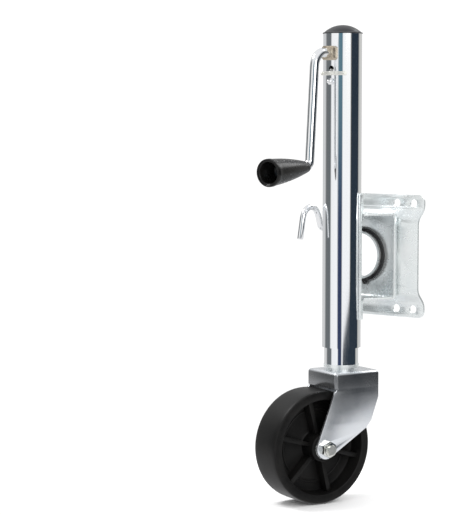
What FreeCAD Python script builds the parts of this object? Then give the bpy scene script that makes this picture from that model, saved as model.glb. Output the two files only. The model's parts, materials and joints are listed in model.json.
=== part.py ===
import FreeCAD, Part
import math
import os
import Sketcher

# A side-wind trailer tongue jack with a swivelling caster wheel, hung on a bolt-on swivel bracket.
# Row frame, in millimetres: the origin is the centre of the bracket's bolt pattern, on the face that meets
# the trailer's rail. +Y points out of that face into the rail, +Z is up along the jack's tube.
# The column frame is the row frame moved onto the tube's axis, and the caster frame is the column frame
# turned about the tube's axis to the wheel's heading.

Vector = FreeCAD.Vector
doc = FreeCAD.newDocument("trailer_tongue_jack")
sheet = doc.addObject("Spreadsheet::Sheet", "Dims")


# ---- sizes ----


class Size:
    """A size that the document can recompute: its expression and its present value."""

    def __init__(self, text, value):
        self.text = text
        self.value = float(value)

    def __add__(self, other):
        other = size(other)
        return Size(f"({self.text} + {other.text})", self.value + other.value)

    def __sub__(self, other):
        other = size(other)
        return Size(f"({self.text} - {other.text})", self.value - other.value)

    def __mul__(self, other):
        other = size(other)
        return Size(f"({self.text} * {other.text})", self.value * other.value)

    def __truediv__(self, other):
        other = size(other)
        return Size(f"({self.text} / {other.text})", self.value / other.value)

    def __radd__(self, other):
        return size(other) + self

    def __rsub__(self, other):
        return size(other) - self

    def __rmul__(self, other):
        return size(other) * self

    def __neg__(self):
        return Size(f"(-1 * {self.text})", -self.value)


def size(number):
    """A Size from a plain number, or the Size itself."""
    if isinstance(number, Size):
        return number
    return Size(f"({float(number):.6f})", number)


def turned(function, angle):
    """The sine, cosine or tangent of a Size in degrees, as a Size."""
    value = getattr(math, function)(math.radians(size(angle).value))
    return Size(f"{function}({size(angle).text} * 1 deg)", value)


ALIASES = []


def dimension(alias, value, meaning):
    """Write one driving dimension into the sheet and return it as a Size."""
    ALIASES.append(alias)
    row = len(ALIASES)
    sheet.set(f"A{row}", meaning)
    sheet.set(f"B{row}", str(value))
    sheet.setAlias(f"B{row}", alias)
    return Size(f"Dims.{alias}", value)


# where the main things are
tube_offset_x = dimension("tube_offset_x", -14.5, "tube axis from the bolt pattern's centre, along X")
tube_offset_y = dimension("tube_offset_y", -63.3, "tube axis from the mounting face, along Y")
tube_top = dimension("tube_top", 291, "top of the outer tube above the bolt pattern's centre")
caster_heading = dimension("caster_heading", -20, "heading of the caster about the tube axis, degrees")

# outer tube and cap
tube_outer = dimension("tube_outer", 50.8, "outer tube, outside diameter")
tube_wall = dimension("tube_wall", 2.6, "outer tube, wall")
tube_length = dimension("tube_length", 410, "outer tube, length")
cap_rise = dimension("cap_rise", 12, "cap, height of the dome over the tube's end")
cap_brim = dimension("cap_brim", 1.6, "cap, thickness of the brim")
cap_overhang = dimension("cap_overhang", 0.7, "cap, how far the brim stands out past the tube")
cap_skirt = dimension("cap_skirt", 8, "cap, depth of the skirt inside the tube")
cap_wall = dimension("cap_wall", 2, "cap, wall")

# crank
crank_drop = dimension("crank_drop", 25.5, "crank shaft axis below the tube's top")
rod_dia = dimension("rod_dia", 12, "crank rod, diameter")
journal_dia = dimension("journal_dia", 8, "crank shaft's inner journal, diameter")
elbow_reach = dimension("elbow_reach", 61.2, "upper bend of the crank from the tube axis")
arm_reach = dimension("arm_reach", 73, "lower bend of the crank from the tube axis")
arm_drop = dimension("arm_drop", 145.5, "lower bend of the crank below the shaft axis")
elbow_radius = dimension("elbow_radius", 19, "upper bend of the crank, radius of the rod's axis")
wrist_radius = dimension("wrist_radius", 14, "lower bend of the crank, radius of the rod's axis")
grip_tilt = dimension("grip_tilt", 4, "grip axis, degrees below level")
grip_start = dimension("grip_start", 4.5, "grip's small end, from the lower bend along the grip axis")
grip_length = dimension("grip_length", 84, "grip, length")
grip_small = dimension("grip_small", 15, "grip, diameter of the small end")
grip_large = dimension("grip_large", 35.6, "grip, diameter of the open end")
grip_cup_depth = dimension("grip_cup_depth", 30, "grip, depth of the hollow in the open end")
grip_pin_dia = dimension("grip_pin_dia", 9, "rod inside the grip, diameter")
boss_across = dimension("boss_across", 18, "crank bush, across the flats of the boss")
boss_reach = dimension("boss_reach", 34, "crank bush, boss face from the tube axis")
bush_dia = dimension("bush_dia", 16, "crank bush, diameter through the tube's wall")
bush_inner_reach = dimension("bush_inner_reach", 19.5, "crank bush, inner end from the tube axis")
slot_dia = dimension("slot_dia", 7.6, "outer tube, hole under the crank")

# bevel gears
gear_teeth = dimension("gear_teeth", 12, "bevel gears, teeth on each")
gear_pitch_radius = dimension("gear_pitch_radius", 13, "bevel gears, pitch radius at the large end")
gear_inner_radius = dimension("gear_inner_radius", 8, "bevel gears, pitch radius at the small end")
gear_hub = dimension("gear_hub", 17, "bevel gears, diameter of the hub")
gear_tip_angle = dimension("gear_tip_angle", 50.5, "bevel gears, tip cone, degrees")
gear_root_angle = dimension("gear_root_angle", 37, "bevel gears, root cone, degrees")
tooth_tip_half = dimension("tooth_tip_half", 3.2, "bevel gears, half a tooth at its tip, degrees")
tooth_root_half = dimension("tooth_root_half", 8, "bevel gears, half a tooth at its root, degrees")

# screw, bearing and nut
screw_dia = dimension("screw_dia", 16, "lift screw, diameter")
neck_dia = dimension("neck_dia", 12, "lift screw, diameter of the neck above its collar")
plate_drop = dimension("plate_drop", 46, "support plate's top below the tube's top")
plate_thick = dimension("plate_thick", 4, "support plate, thickness")
race_thick = dimension("race_thick", 2, "thrust bearing races, thickness")
race_dia = dimension("race_dia", 28, "thrust bearing races, outside diameter")
ball_dia = dimension("ball_dia", 4, "thrust bearing balls, diameter")
ball_count = dimension("ball_count", 12, "thrust bearing balls")
collar_thick = dimension("collar_thick", 4, "lift screw, thickness of the collar")
screw_foot_drop = dimension("screw_foot_drop", 370, "lift screw's lower end below the tube's top")
nut_height = dimension("nut_height", 25, "lift nut, height")

# inner tube
ram_outer = dimension("ram_outer", 45, "inner tube, outside diameter")
ram_wall = dimension("ram_wall", 2.5, "inner tube, wall")
ram_length = dimension("ram_length", 337, "inner tube, length")
ram_foot_drop = dimension("ram_foot_drop", 432.2, "inner tube's lower end below the tube's top")
foot_flange_dia = dimension("foot_flange_dia", 46.4, "bottom plug, diameter of the flange")
foot_flange_thick = dimension("foot_flange_thick", 4, "bottom plug, thickness of the flange")
plug_depth = dimension("plug_depth", 14, "bottom plug, depth inside the inner tube")
kingpin_dia = dimension("kingpin_dia", 12, "kingpin, diameter")
kingpin_head_dia = dimension("kingpin_head_dia", 26, "kingpin, diameter of the head")
kingpin_head = dimension("kingpin_head", 5, "kingpin, height of the head")

# fork and wheel
fork_drop = dimension("fork_drop", 440, "fork's top face below the tube's top")
fork_sheet = dimension("fork_sheet", 3.5, "fork, sheet thickness")
fork_width = dimension("fork_width", 66, "fork, width over the legs")
fork_front = dimension("fork_front", 32, "fork's top plate, from the kingpin to the apron")
fork_back = dimension("fork_back", 37, "fork's top plate, from the kingpin to the open side")
apron_depth = dimension("apron_depth", 21, "fork, depth of the apron")
axle_drop = dimension("axle_drop", 97, "axle below the fork's top face")
trail = dimension("trail", 46, "axle in front of the kingpin")
leg_end_radius = dimension("leg_end_radius", 14, "fork legs, radius round the axle")
swivel_washer_dia = dimension("swivel_washer_dia", 40, "swivel washer, diameter")
wheel_dia = dimension("wheel_dia", 150, "wheel, diameter")
wheel_width = dimension("wheel_width", 49, "wheel, width over the tread")
rim_inner_dia = dimension("rim_inner_dia", 124, "wheel, inside diameter of the rim")
hub_dia = dimension("hub_dia", 36, "wheel, diameter of the hub")
hub_width = dimension("hub_width", 55, "wheel, width over the hub")
web_thick = dimension("web_thick", 7, "wheel, thickness of the web")
rib_thick = dimension("rib_thick", 5, "wheel, thickness of a rib")
rib_width = dimension("rib_width", 37, "wheel, width over the ribs")
rib_count = dimension("rib_count", 6, "wheel, ribs on each face")
rib_heading = dimension("rib_heading", 14, "wheel, turn of the first rib, degrees")
tread_round = dimension("tread_round", 3, "wheel, radius of the tread's shoulders")
sleeve_dia = dimension("sleeve_dia", 18, "axle sleeve, diameter")
bolt_dia = dimension("bolt_dia", 12, "axle bolt, diameter")
bolt_across = dimension("bolt_across", 19, "axle bolt and nut, across the flats")
bolt_head = dimension("bolt_head", 8, "axle bolt, height of the head")
nut_thick = dimension("nut_thick", 9, "axle nut, height of the hexagon")
axle_washer_dia = dimension("axle_washer_dia", 28, "axle washers, diameter")
axle_washer_thick = dimension("axle_washer_thick", 1.4, "axle washers, thickness")

# bracket and saddle
plate_sheet = dimension("plate_sheet", 3, "mounting plate, sheet thickness")
plate_width = dimension("plate_width", 149, "mounting plate, width")
plate_height = dimension("plate_height", 162, "mounting plate, height")
ear_height = dimension("ear_height", 19, "mounting plate, height of the flat ears")
joggle_depth = dimension("joggle_depth", 9, "mounting plate, step between the ears and the middle")
joggle_height = dimension("joggle_height", 15, "mounting plate, height of the step")
bolt_hole_dia = dimension("bolt_hole_dia", 11, "mounting plate, bolt holes")
bolt_rows = dimension("bolt_rows", 140, "mounting plate, bolt rows apart")
bolt_columns_outer = dimension("bolt_columns_outer", 116, "mounting plate, outer bolt columns apart")
bolt_columns_inner = dimension("bolt_columns_inner", 64, "mounting plate, inner bolt columns apart")
spindle_outer = dimension("spindle_outer", 64, "pivot spindle, outside diameter")
spindle_wall = dimension("spindle_wall", 2.7, "pivot spindle, wall")
spindle_reach = dimension("spindle_reach", 11.3, "pivot spindle, how far it stands out of the plate")
ring_outer = dimension("ring_outer", 71.6, "retaining ring and washer, outside diameter")
washer_thick = dimension("washer_thick", 1.6, "pivot washer, thickness")
ring_thick = dimension("ring_thick", 2.2, "retaining ring, thickness")
ring_groove = dimension("ring_groove", 0.8, "retaining ring, depth in the spindle's groove")
turn_gap = dimension("turn_gap", 0.3, "gap between faces that turn past each other")
web_sheet = dimension("web_sheet", 3, "saddle, sheet thickness")
web_half_width = dimension("web_half_width", 55, "saddle, half the width of the channel's web")
web_half_height = dimension("web_half_height", 57, "saddle, half the height of the channel")
flange_thick = dimension("flange_thick", 4, "saddle, thickness of the channel's flanges")
wall_half_height = dimension("wall_half_height", 82, "saddle, half the height of the side walls")
wall_flare = dimension("wall_flare", 50, "saddle, radius of the side walls' flare")
wall_flare_angle = dimension("wall_flare_angle", 35, "saddle, flare of the side walls, degrees")
wall_straight = dimension("wall_straight", 9, "saddle, straight part of the side walls behind the tube axis")
wall_front = dimension("wall_front", 2, "saddle, front edge of the side walls behind the tube axis")
wall_strip = dimension("wall_strip", 5.5, "saddle, back edge of the strip that joins the side walls' two ends")
flange_shoulder = dimension("flange_shoulder", 8, "saddle, straight part of the flanges in front of the web")
flange_overlap = dimension("flange_overlap", 5, "saddle, flanges beside the tube")
web_lip = dimension("web_lip", 4, "saddle, lip at the sides of the web")

# pull pin
pin_dia = dimension("pin_dia", 8, "pull pin, diameter")
pin_side = dimension("pin_side", 33, "pull pin, from the tube axis to its side")
pin_height = dimension("pin_height", 36, "pull pin above the pivot")
pin_hole_dia = dimension("pin_hole_dia", 9, "mounting plate, locking holes")
housing_dia = dimension("housing_dia", 15, "pin housing, outside diameter")
housing_bore = dimension("housing_bore", 12.4, "pin housing, inside diameter")
housing_length = dimension("housing_length", 31, "pin housing, length")
collar_place = dimension("collar_place", 12, "pin collar, from the web's front face")
spring_wire = dimension("spring_wire", 1.2, "pin spring, wire")
spring_turns = dimension("spring_turns", 7, "pin spring, turns")

# fits
running_fit = dimension("running_fit", 0.06, "radial clearance of a shaft that turns or slides in a hole")

rim_z = tube_top
crank_z = tube_top - crank_drop
fork_z = tube_top - fork_drop
axle_z = fork_z - axle_drop
ram_foot_z = tube_top - ram_foot_drop
tube_radius = tube_outer / 2
tube_bore_radius = tube_radius - tube_wall
plate_middle_back = -joggle_depth
plate_middle_front = plate_middle_back - plate_sheet
web_back = plate_middle_front - turn_gap - tube_offset_y
web_front = web_back - web_sheet


# ---- modelling helpers ----


def bind(thing, name, number):
    """Give a property its value, as an expression on the sheet."""
    thing.setExpression(name, size(number).text)


def place(thing, base=(0, 0, 0), rotation=None):
    """Put a thing at a base point whose coordinates stay bound to the sheet."""
    values = [size(number).value for number in base]
    thing.Placement = FreeCAD.Placement(Vector(*values), rotation or FreeCAD.Rotation())
    for axis, number in zip("xyz", base):
        if isinstance(number, Size):
            bind(thing, f"Placement.Base.{axis}", number)
    return thing


def turn(axis, degrees):
    """A rotation about an axis by some degrees."""
    return FreeCAD.Rotation(Vector(*axis), degrees)


UPRIGHT = turn((0, 0, 1), 0)
ALONG_Y = turn((1, 0, 0), -90)
ALONG_X = turn((0, 1, 0), 90)
AGAINST_Y = turn((1, 0, 0), 90)


def solid(kind, name, base=(0, 0, 0), rotation=None, **sizes):
    """A Part primitive with bound sizes."""
    thing = doc.addObject(f"Part::{kind}", name)
    for key, number in sizes.items():
        bind(thing, key, number)
    return place(thing, base, rotation)


def cylinder(name, radius, height, base=(0, 0, 0), rotation=None):
    """A cylinder that starts at its base point and runs along its own turned Z."""
    return solid("Cylinder", name, base, rotation, Radius=radius, Height=height)


def box(name, low, high):
    """A box between two corners."""
    sides = [size(b) - size(a) for a, b in zip(low, high)]
    return solid("Box", name, low, None, Length=sides[0], Width=sides[1], Height=sides[2])


def cut(name, base, *tools):
    """The base without its tools."""
    for count, tool in enumerate(tools):
        last = count == len(tools) - 1
        thing = doc.addObject("Part::Cut", name if last else f"{name}_cut_{count}")
        thing.Base = base
        thing.Tool = tool
        base = thing
    return base


def fuse(name, *pieces):
    """Pieces made one."""
    thing = doc.addObject("Part::MultiFuse", name)
    thing.Shapes = list(pieces)
    thing.Refine = True
    return thing


def common(name, first, second):
    """What two pieces share."""
    thing = doc.addObject("Part::Common", name)
    thing.Base = first
    thing.Tool = second
    return thing


def ring(name, outer, inner, height, base=(0, 0, 0), rotation=None):
    """A tube or washer: an outer and an inner radius, and a height."""
    rod = cylinder(f"{name}_outside", outer, height, base, rotation)
    hole = cylinder(f"{name}_hole", inner, height, base, rotation)
    return cut(name, rod, hole)


def hexagon(name, across, height, base, rotation):
    """A hexagonal prism given across its flats."""
    corner = size(across) / turned("cos", 30) / 2
    prism = solid("Prism", name, base, rotation, Circumradius=corner, Height=height)
    prism.Polygon = 6
    return prism


def new_body(name):
    """An empty PartDesign body."""
    return doc.addObject("PartDesign::Body", name)


def origin_plane(body, role):
    """One of a body's own origin planes."""
    return next(item for item in body.Origin.OriginFeatures if item.Role == role)


def blank_sketch(body, name, role, offset=0):
    """An empty sketch on one of the body's own origin planes, moved along the plane's normal."""
    drawing = body.newObject("Sketcher::SketchObject", name)
    drawing.AttachmentSupport = [(origin_plane(body, role), "")]
    drawing.MapMode = "FlatFace"
    if isinstance(offset, Size) or offset:
        drawing.AttachmentOffset = FreeCAD.Placement(Vector(0, 0, size(offset).value), UPRIGHT)
        bind(drawing, "AttachmentOffset.Base.z", offset)
    return drawing


def fix_point(drawing, edge, end, across, up):
    """Tie a point's two coordinates to the sheet."""
    for kind, number in (("DistanceX", across), ("DistanceY", up)):
        number = size(number)
        index = drawing.addConstraint(Sketcher.Constraint(kind, -1, 1, edge, end, number.value))
        bind(drawing, f"Constraints[{index}]", number)


def fix_radius(drawing, edge, radius):
    """Tie an arc's or circle's radius to the sheet."""
    index = drawing.addConstraint(Sketcher.Constraint("Radius", edge, size(radius).value))
    bind(drawing, f"Constraints[{index}]", radius)


def draw_circle(drawing, across, up, radius):
    """A circle with bound centre and radius."""
    centre = Vector(size(across).value, size(up).value, 0)
    edge = drawing.addGeometry(Part.Circle(centre, Vector(0, 0, 1), size(radius).value), False)
    fix_point(drawing, edge, 3, across, up)
    fix_radius(drawing, edge, radius)


def arc_between(start, end, radius, side):
    """The shorter arc of a radius between two points, with its centre on one side of the chord."""
    chord = end - start
    middle = (start + end) / 2
    normal = Vector(-chord.y, chord.x, 0).normalize() * side
    rise = math.sqrt(max(radius**2 - (chord.Length / 2) ** 2, 0))
    centre = middle + normal * rise
    return Part.Arc(start, centre - normal * radius, end)


def draw_outline(drawing, corners):
    """A closed outline. A corner is (across, up), or (across, up, radius, side) where an arc starts there."""
    points = [Vector(size(corner[0]).value, size(corner[1]).value, 0) for corner in corners]
    edges = []
    for count, corner in enumerate(corners):
        start = points[count]
        end = points[(count + 1) % len(points)]
        if len(corner) == 2:
            edge = drawing.addGeometry(Part.LineSegment(start, end), False)
            edges.append((edge, 1, 2))
            continue
        curve = arc_between(start, end, size(corner[2]).value, corner[3])
        edge = drawing.addGeometry(curve, False)
        forward = (drawing.getPoint(edge, 1) - start).Length < 1e-6
        edges.append((edge, 1, 2) if forward else (edge, 2, 1))
    for count, (edge, first, last) in enumerate(edges):
        following = edges[(count + 1) % len(edges)]
        drawing.addConstraint(Sketcher.Constraint("Coincident", edge, last, following[0], following[1]))
    for (edge, first, last), corner in zip(edges, corners):
        fix_point(drawing, edge, first, corner[0], corner[1])
        if len(corner) > 2:
            fix_radius(drawing, edge, corner[2])


def draw_route(drawing, corners, radii):
    """An open route of straight runs joined by tangent arcs, one radius for each inner corner."""
    points = [Vector(size(a).value, size(b).value, 0) for a, b in corners]
    edges = []
    start = points[0]
    for count, radius in enumerate(radii, 1):
        back = (points[count - 1] - points[count]).normalize()
        ahead = (points[count + 1] - points[count]).normalize()
        half = back.getAngle(ahead) / 2
        reach = size(radius).value / math.tan(half)
        enter = points[count] + back * reach
        leave = points[count] + ahead * reach
        centre = points[count] + (back + ahead).normalize() * (size(radius).value / math.sin(half))
        middle = centre + (points[count] - centre).normalize() * size(radius).value
        line = drawing.addGeometry(Part.LineSegment(start, enter), False)
        bend = drawing.addGeometry(Part.Arc(enter, middle, leave), False)
        first = 1 if (drawing.getPoint(bend, 1) - enter).Length < 1e-6 else 2
        edges += [(line, 1), (bend, first)]
        start = leave
    edges.append((drawing.addGeometry(Part.LineSegment(start, points[-1]), False), 1))
    fix_point(drawing, edges[0][0], 1, *corners[0])
    fix_point(drawing, edges[-1][0], 2, *corners[-1])
    for (edge, first), (following, start_end) in zip(edges, edges[1:]):
        drawing.addConstraint(Sketcher.Constraint("Tangent", edge, 3 - first, following, start_end))
    for count, radius in enumerate(radii, 1):
        fix_radius(drawing, edges[2 * count - 1][0], radius)
        mark = drawing.addGeometry(Part.Point(points[count]), True)
        fix_point(drawing, mark, 1, *corners[count])
        for line in (edges[2 * count - 2][0], edges[2 * count][0]):
            drawing.addConstraint(Sketcher.Constraint("PointOnObject", mark, 1, line))


def pad(body, drawing, length, symmetric=False, reverse=False):
    """Extrude a sketch into the body."""
    feature = body.newObject("PartDesign::Pad", f"{drawing.Name}_pad")
    feature.Profile = drawing
    bind(feature, "Length", length)
    feature.Midplane = symmetric
    feature.Reversed = reverse
    return feature


def pocket_through(body, drawing):
    """Cut a sketch right through the body, both ways."""
    doc.recompute()
    before = body.Shape.Volume
    feature = body.newObject("PartDesign::Pocket", f"{drawing.Name}_pocket")
    feature.Profile = drawing
    feature.Type = 1
    feature.Midplane = True
    doc.recompute()
    assert body.Shape.Volume < before - 1e-3, f"{feature.Name} cuts nothing"
    return feature


def revolve(body, drawing, axis):
    """Turn a sketch a full turn about one of its own axes."""
    feature = body.newObject("PartDesign::Revolution", f"{drawing.Name}_turned")
    feature.Profile = drawing
    feature.ReferenceAxis = (drawing, [axis])
    feature.Angle = 360
    return feature


def polar(body, feature, axis_role, count):
    """Repeat a feature round one of the body's own axes."""
    pattern = body.newObject("PartDesign::PolarPattern", f"{feature.Name}_round")
    pattern.Originals = [feature]
    pattern.Axis = (origin_plane(body, axis_role), [""])
    pattern.Angle = 360
    bind(pattern, "Occurrences", count)
    body.Tip = pattern
    return pattern


def round_edges(body, name, radius, wanted):
    """Fillet the edges of the body's last feature that pass a test on their ends."""
    doc.recompute()
    last = body.Tip
    names = []
    for count, edge in enumerate(last.Shape.Edges, 1):
        if wanted(edge):
            names.append(f"Edge{count}")
    assert names, f"no edges for {name}"
    feature = body.newObject("PartDesign::Fillet", name)
    feature.Base = (last, names)
    bind(feature, "Radius", radius)
    body.Tip = feature
    doc.recompute()
    return feature


SUBPARTS = []


def finish(thing, name, base=(0, 0, 0), rotation=None):
    """Name a sub-part and put it in the row frame."""
    thing.Label = name
    SUBPARTS.append(thing)
    return place(thing, base, rotation)


def in_column(thing, name, x=0, y=0, z=0, rotation=None):
    """Finish a sub-part that is modelled on the tube's axis."""
    return finish(thing, name, (tube_offset_x + x, tube_offset_y + y, size(0) + z), rotation)


def in_caster(thing, name):
    """Finish a sub-part that is modelled in the caster frame."""
    return in_column(thing, name, rotation=turn((0, 0, 1), caster_heading.value))


# ---- bracket: bolted to the trailer ----


def at_x(edge, x):
    """Whether an edge lies in a plane of constant X."""
    return all(abs(vertex.X - x) < 1e-4 for vertex in edge.Vertexes)


def along(edge, axis):
    """Whether a straight edge runs along an axis."""
    if edge.Curve.TypeId != "Part::GeomLine":
        return False
    return abs(abs(edge.Curve.Direction.dot(Vector(*axis))) - 1) < 1e-6


def mount_plate():
    """Pressed plate: flat ears at the mounting face, and a middle stepped towards the jack."""
    body = new_body("mount_plate_body")
    top = plate_height / 2
    ear_foot = top - ear_height
    middle = ear_foot - joggle_height
    half = [
        (-plate_sheet, top),
        (-plate_sheet, ear_foot),
        (plate_middle_front, middle),
    ]
    back = [
        (plate_middle_back, middle),
        (size(0), ear_foot),
        (size(0), top),
    ]
    front = half + [(y, -z) for y, z in reversed(half)]
    rear = [(y, -z) for y, z in reversed(back)] + back
    section = blank_sketch(body, "plate_section", "YZ_Plane")
    draw_outline(section, front + rear)
    pad(body, section, plate_width, symmetric=True)

    def bend(edge):
        inner = all(abs(vertex.Z) < ear_foot.value + 0.1 for vertex in edge.Vertexes)
        return along(edge, (1, 0, 0)) and inner

    def ear_corner(edge):
        end = all(abs(abs(vertex.Z) - top.value) < 1e-4 for vertex in edge.Vertexes)
        side = all(abs(abs(vertex.X) - plate_width.value / 2) < 1e-4 for vertex in edge.Vertexes)
        return along(edge, (0, 1, 0)) and end and side

    round_edges(body, "plate_bends", 4, bend)
    round_edges(body, "plate_corners", 9, ear_corner)
    holes = blank_sketch(body, "plate_holes", "XZ_Plane")
    draw_circle(holes, tube_offset_x, 0, spindle_outer / 2)
    for columns in (bolt_columns_outer, bolt_columns_inner):
        for side in (-1, 1):
            for row in (-1, 1):
                draw_circle(holes, columns * (side / 2), bolt_rows * (row / 2), bolt_hole_dia / 2)
    for across, up in ((-1, 1), (1, -1)):
        draw_circle(holes, tube_offset_x + pin_side * across, pin_height * up, pin_hole_dia / 2)
        draw_circle(holes, tube_offset_x + pin_height * -across, pin_side * up, pin_hole_dia / 2)
    pocket_through(body, holes)
    finish(body, "mount_plate")


def pivot_spindle():
    """Hollow spindle set in the plate, with a groove for its retaining ring and a lip behind."""
    body = new_body("pivot_spindle_body")
    outer = spindle_outer / 2
    bore = outer - spindle_wall
    front = plate_middle_front - spindle_reach
    groove_back = plate_middle_front - turn_gap * 2 - web_sheet - washer_thick
    groove_front = groove_back - ring_thick
    section = blank_sketch(body, "spindle_section", "XY_Plane")
    corners = [
        (bore, front),
        (outer, front),
        (outer, groove_front),
        (outer - ring_groove, groove_front),
        (outer - ring_groove, groove_back),
        (outer, groove_back),
        (outer, plate_middle_back),
        (outer + 2.5, plate_middle_back),
        (outer + 2.5, plate_middle_back + 2),
        (bore, plate_middle_back + 2),
    ]
    draw_outline(section, corners)
    revolve(body, section, "V_Axis")
    finish(body, "pivot_spindle", (tube_offset_x, 0, 0))


def pivot_ring(name, inner, thick, front):
    """A flat ring on the spindle, in the row frame."""
    return ring(name, ring_outer / 2, inner, thick, (tube_offset_x, front, 0), ALONG_Y)


def pivot_washer():
    """Slippery washer between the retaining ring and the saddle's web."""
    front = plate_middle_front - turn_gap * 2 - web_sheet - washer_thick
    washer = pivot_ring("pivot_washer_solid", spindle_outer / 2, washer_thick, front)
    finish(washer, "pivot_washer")


def pivot_retainer():
    """Split retaining ring in the spindle's groove, with a pierced lug each side of its gap."""
    front = plate_middle_front - turn_gap * 2 - web_sheet - washer_thick - ring_thick
    hoop = pivot_ring("retainer_hoop", spindle_outer / 2 - ring_groove, ring_thick, front)
    gap = box("retainer_gap", (tube_offset_x - 3, front - 1, -45), (tube_offset_x + 3, front + 4, -20))
    open_hoop = cut("retainer_open", hoop, gap)
    pieces = [open_hoop]
    lug_z = -(ring_outer / 2) - 0.5
    for side in (-1, 1):
        centre = (tube_offset_x + 6.2 * side, front, lug_z)
        lug = ring(f"retainer_lug_{side + 1}", 3, 1.1, ring_thick, centre, ALONG_Y)
        pieces.append(lug)
    finish(fuse("retainer_solid", *pieces), "pivot_retaining_ring")


# ---- column: the outer tube and what is fixed to it ----


def outer_tube():
    """Outer tube with its crank holes and the slot under the crank."""
    foot = rim_z - tube_length
    tube = ring("outer_tube_wall", tube_radius, tube_bore_radius, tube_length, (0, 0, foot))
    front = cylinder("crank_hole", bush_dia / 2, tube_radius, (0, -tube_radius - 5, crank_z), ALONG_Y)
    rear = cylinder("rear_hole", 6, tube_radius, (0, 5, crank_z), ALONG_Y)
    slot_z = rim_z - 45.5
    slot = cylinder("inspection_hole", slot_dia / 2, 12, (0, -tube_radius - 5, slot_z), ALONG_Y)
    nipple_hole = cylinder("nipple_hole", 3, 12, (0, -tube_radius - 5, rim_z - 62), ALONG_Y)
    in_column(cut("outer_tube_solid", tube, front, rear, slot, nipple_hole), "outer_tube")


def top_cap():
    """Moulded cap: a thin brim, a low dome over it and a skirt that plugs the tube."""
    body = new_body("top_cap_body")
    brim = tube_radius + cap_overhang
    shoulder = brim - 1.6
    dome_rise = cap_rise - cap_brim
    dome_radius = (shoulder * shoulder + dome_rise * dome_rise) / (dome_rise * 2)
    skirt = tube_bore_radius - 0.05
    inner = skirt - cap_wall
    section = blank_sketch(body, "cap_section", "XZ_Plane")
    corners = [
        (size(0), cap_rise, dome_radius, -1),
        (shoulder, cap_brim),
        (brim, cap_brim * 0.6),
        (brim, size(0)),
        (skirt, size(0)),
        (skirt, -cap_skirt),
        (inner, -cap_skirt),
        (inner, size(0)),
        (inner * 0.7, cap_rise * 0.45),
        (size(0), cap_rise - cap_wall),
    ]
    draw_outline(section, corners)
    revolve(body, section, "V_Axis")
    in_column(body, "top_cap", z=rim_z)


def saddle_wall(name, mirror):
    """One side wall of the saddle: straight beside the tube, then flared back to the web."""
    body = new_body(name)
    inner = tube_radius + 0.05
    outer = inner + web_sheet
    angle = wall_flare_angle
    centre = outer + wall_flare
    sine, cosine = turned("sin", angle), turned("cos", angle)
    inner_flare = wall_flare + web_sheet
    outer_end = (centre - wall_flare * cosine, wall_straight + wall_flare * sine)
    inner_end = (centre - inner_flare * cosine, wall_straight + inner_flare * sine)
    slope = turned("tan", angle)
    outline = [
        (inner, wall_front),
        (outer, wall_front),
        (outer, wall_straight, wall_flare, -1),
        outer_end,
        (outer_end[0] + (web_front - outer_end[1]) * slope, web_front),
        (inner_end[0] + (web_front - inner_end[1]) * slope, web_front),
        (inner_end[0], inner_end[1], inner_flare, 1),
        (inner, wall_straight),
    ]
    if mirror:
        outline = [(-corner[0], corner[1]) + tuple(corner[2:]) for corner in outline]
        outline = [corner[:3] + (-corner[3],) if len(corner) > 2 else corner for corner in outline]
    section = blank_sketch(body, f"{name}_section", "XY_Plane")
    draw_outline(section, outline)
    pad(body, section, wall_half_height * 2, symmetric=True)
    return body


def saddle_flange(name, low_z):
    """A flange of the channel: wide at the web, narrow at the tube."""
    body = new_body(name)
    section = blank_sketch(body, f"{name}_section", "XY_Plane", low_z)
    narrow = tube_radius + flange_overlap
    corners = [
        (-web_half_width, web_back),
        (-web_half_width, web_front - flange_shoulder),
        (-narrow, wall_straight - 1),
        (narrow, wall_straight - 1),
        (web_half_width, web_front - flange_shoulder),
        (web_half_width, web_back),
    ]
    draw_outline(section, corners)
    pad(body, section, flange_thick)
    return body


def saddle():
    """Pressed saddle: walls that hug the tube, flanges, and a web with the pivot hole."""
    window_low = (-tube_radius * 2, wall_strip, -web_half_height)
    window_high = (tube_radius * 2, web_back + 5, web_half_height)
    walls = []
    for name, mirror in (("saddle_right", False), ("saddle_left", True)):
        window = box(f"{name}_window", window_low, window_high)
        walls.append(cut(f"{name}_wall", saddle_wall(name, mirror), window))
    web = box(
        "saddle_web",
        (-web_half_width, web_front, -web_half_height),
        (web_half_width, web_back, web_half_height),
    )
    lips = []
    for side in (-1, 1):
        edge = web_half_width * side
        inner = (web_half_width - web_sheet) * side
        low, high = (inner, edge) if side > 0 else (edge, inner)
        lip_low = (low, web_front - web_lip, -web_half_height)
        lips.append(box(f"saddle_lip_{side + 1}", lip_low, (high, web_front, web_half_height)))
    top = saddle_flange("saddle_flange_top", web_half_height - flange_thick)
    bottom = saddle_flange("saddle_flange_bottom", -web_half_height)
    metal = fuse("saddle_metal", web, top, bottom, *lips, *walls)
    height = web_half_height * 2 + 20
    tube = cylinder("saddle_tube_cut", tube_radius + 0.05, height, (0, 0, -web_half_height - 10))
    pivot = cylinder("saddle_pivot_cut", spindle_outer / 2 + running_fit, 20, (0, web_front - 5, 0), ALONG_Y)
    hole_base = (-pin_side, web_front - 5, pin_height)
    pin = cylinder("saddle_pin_cut", pin_dia / 2 + running_fit, 20, hole_base, ALONG_Y)
    in_column(cut("saddle_solid", metal, tube, pivot, pin), "saddle")


def pin_housing():
    """Tube on the web that holds the pull pin's spring; its front end guides the pin."""
    start = (-pin_side, web_front - housing_length, pin_height)
    shell = ring("housing_shell", housing_dia / 2, housing_bore / 2, housing_length, start, ALONG_Y)
    end = ring("housing_end", housing_dia / 2, pin_dia / 2 + running_fit, 2.5, start, ALONG_Y)
    in_column(fuse("housing_solid", shell, end), "pin_housing")


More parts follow.
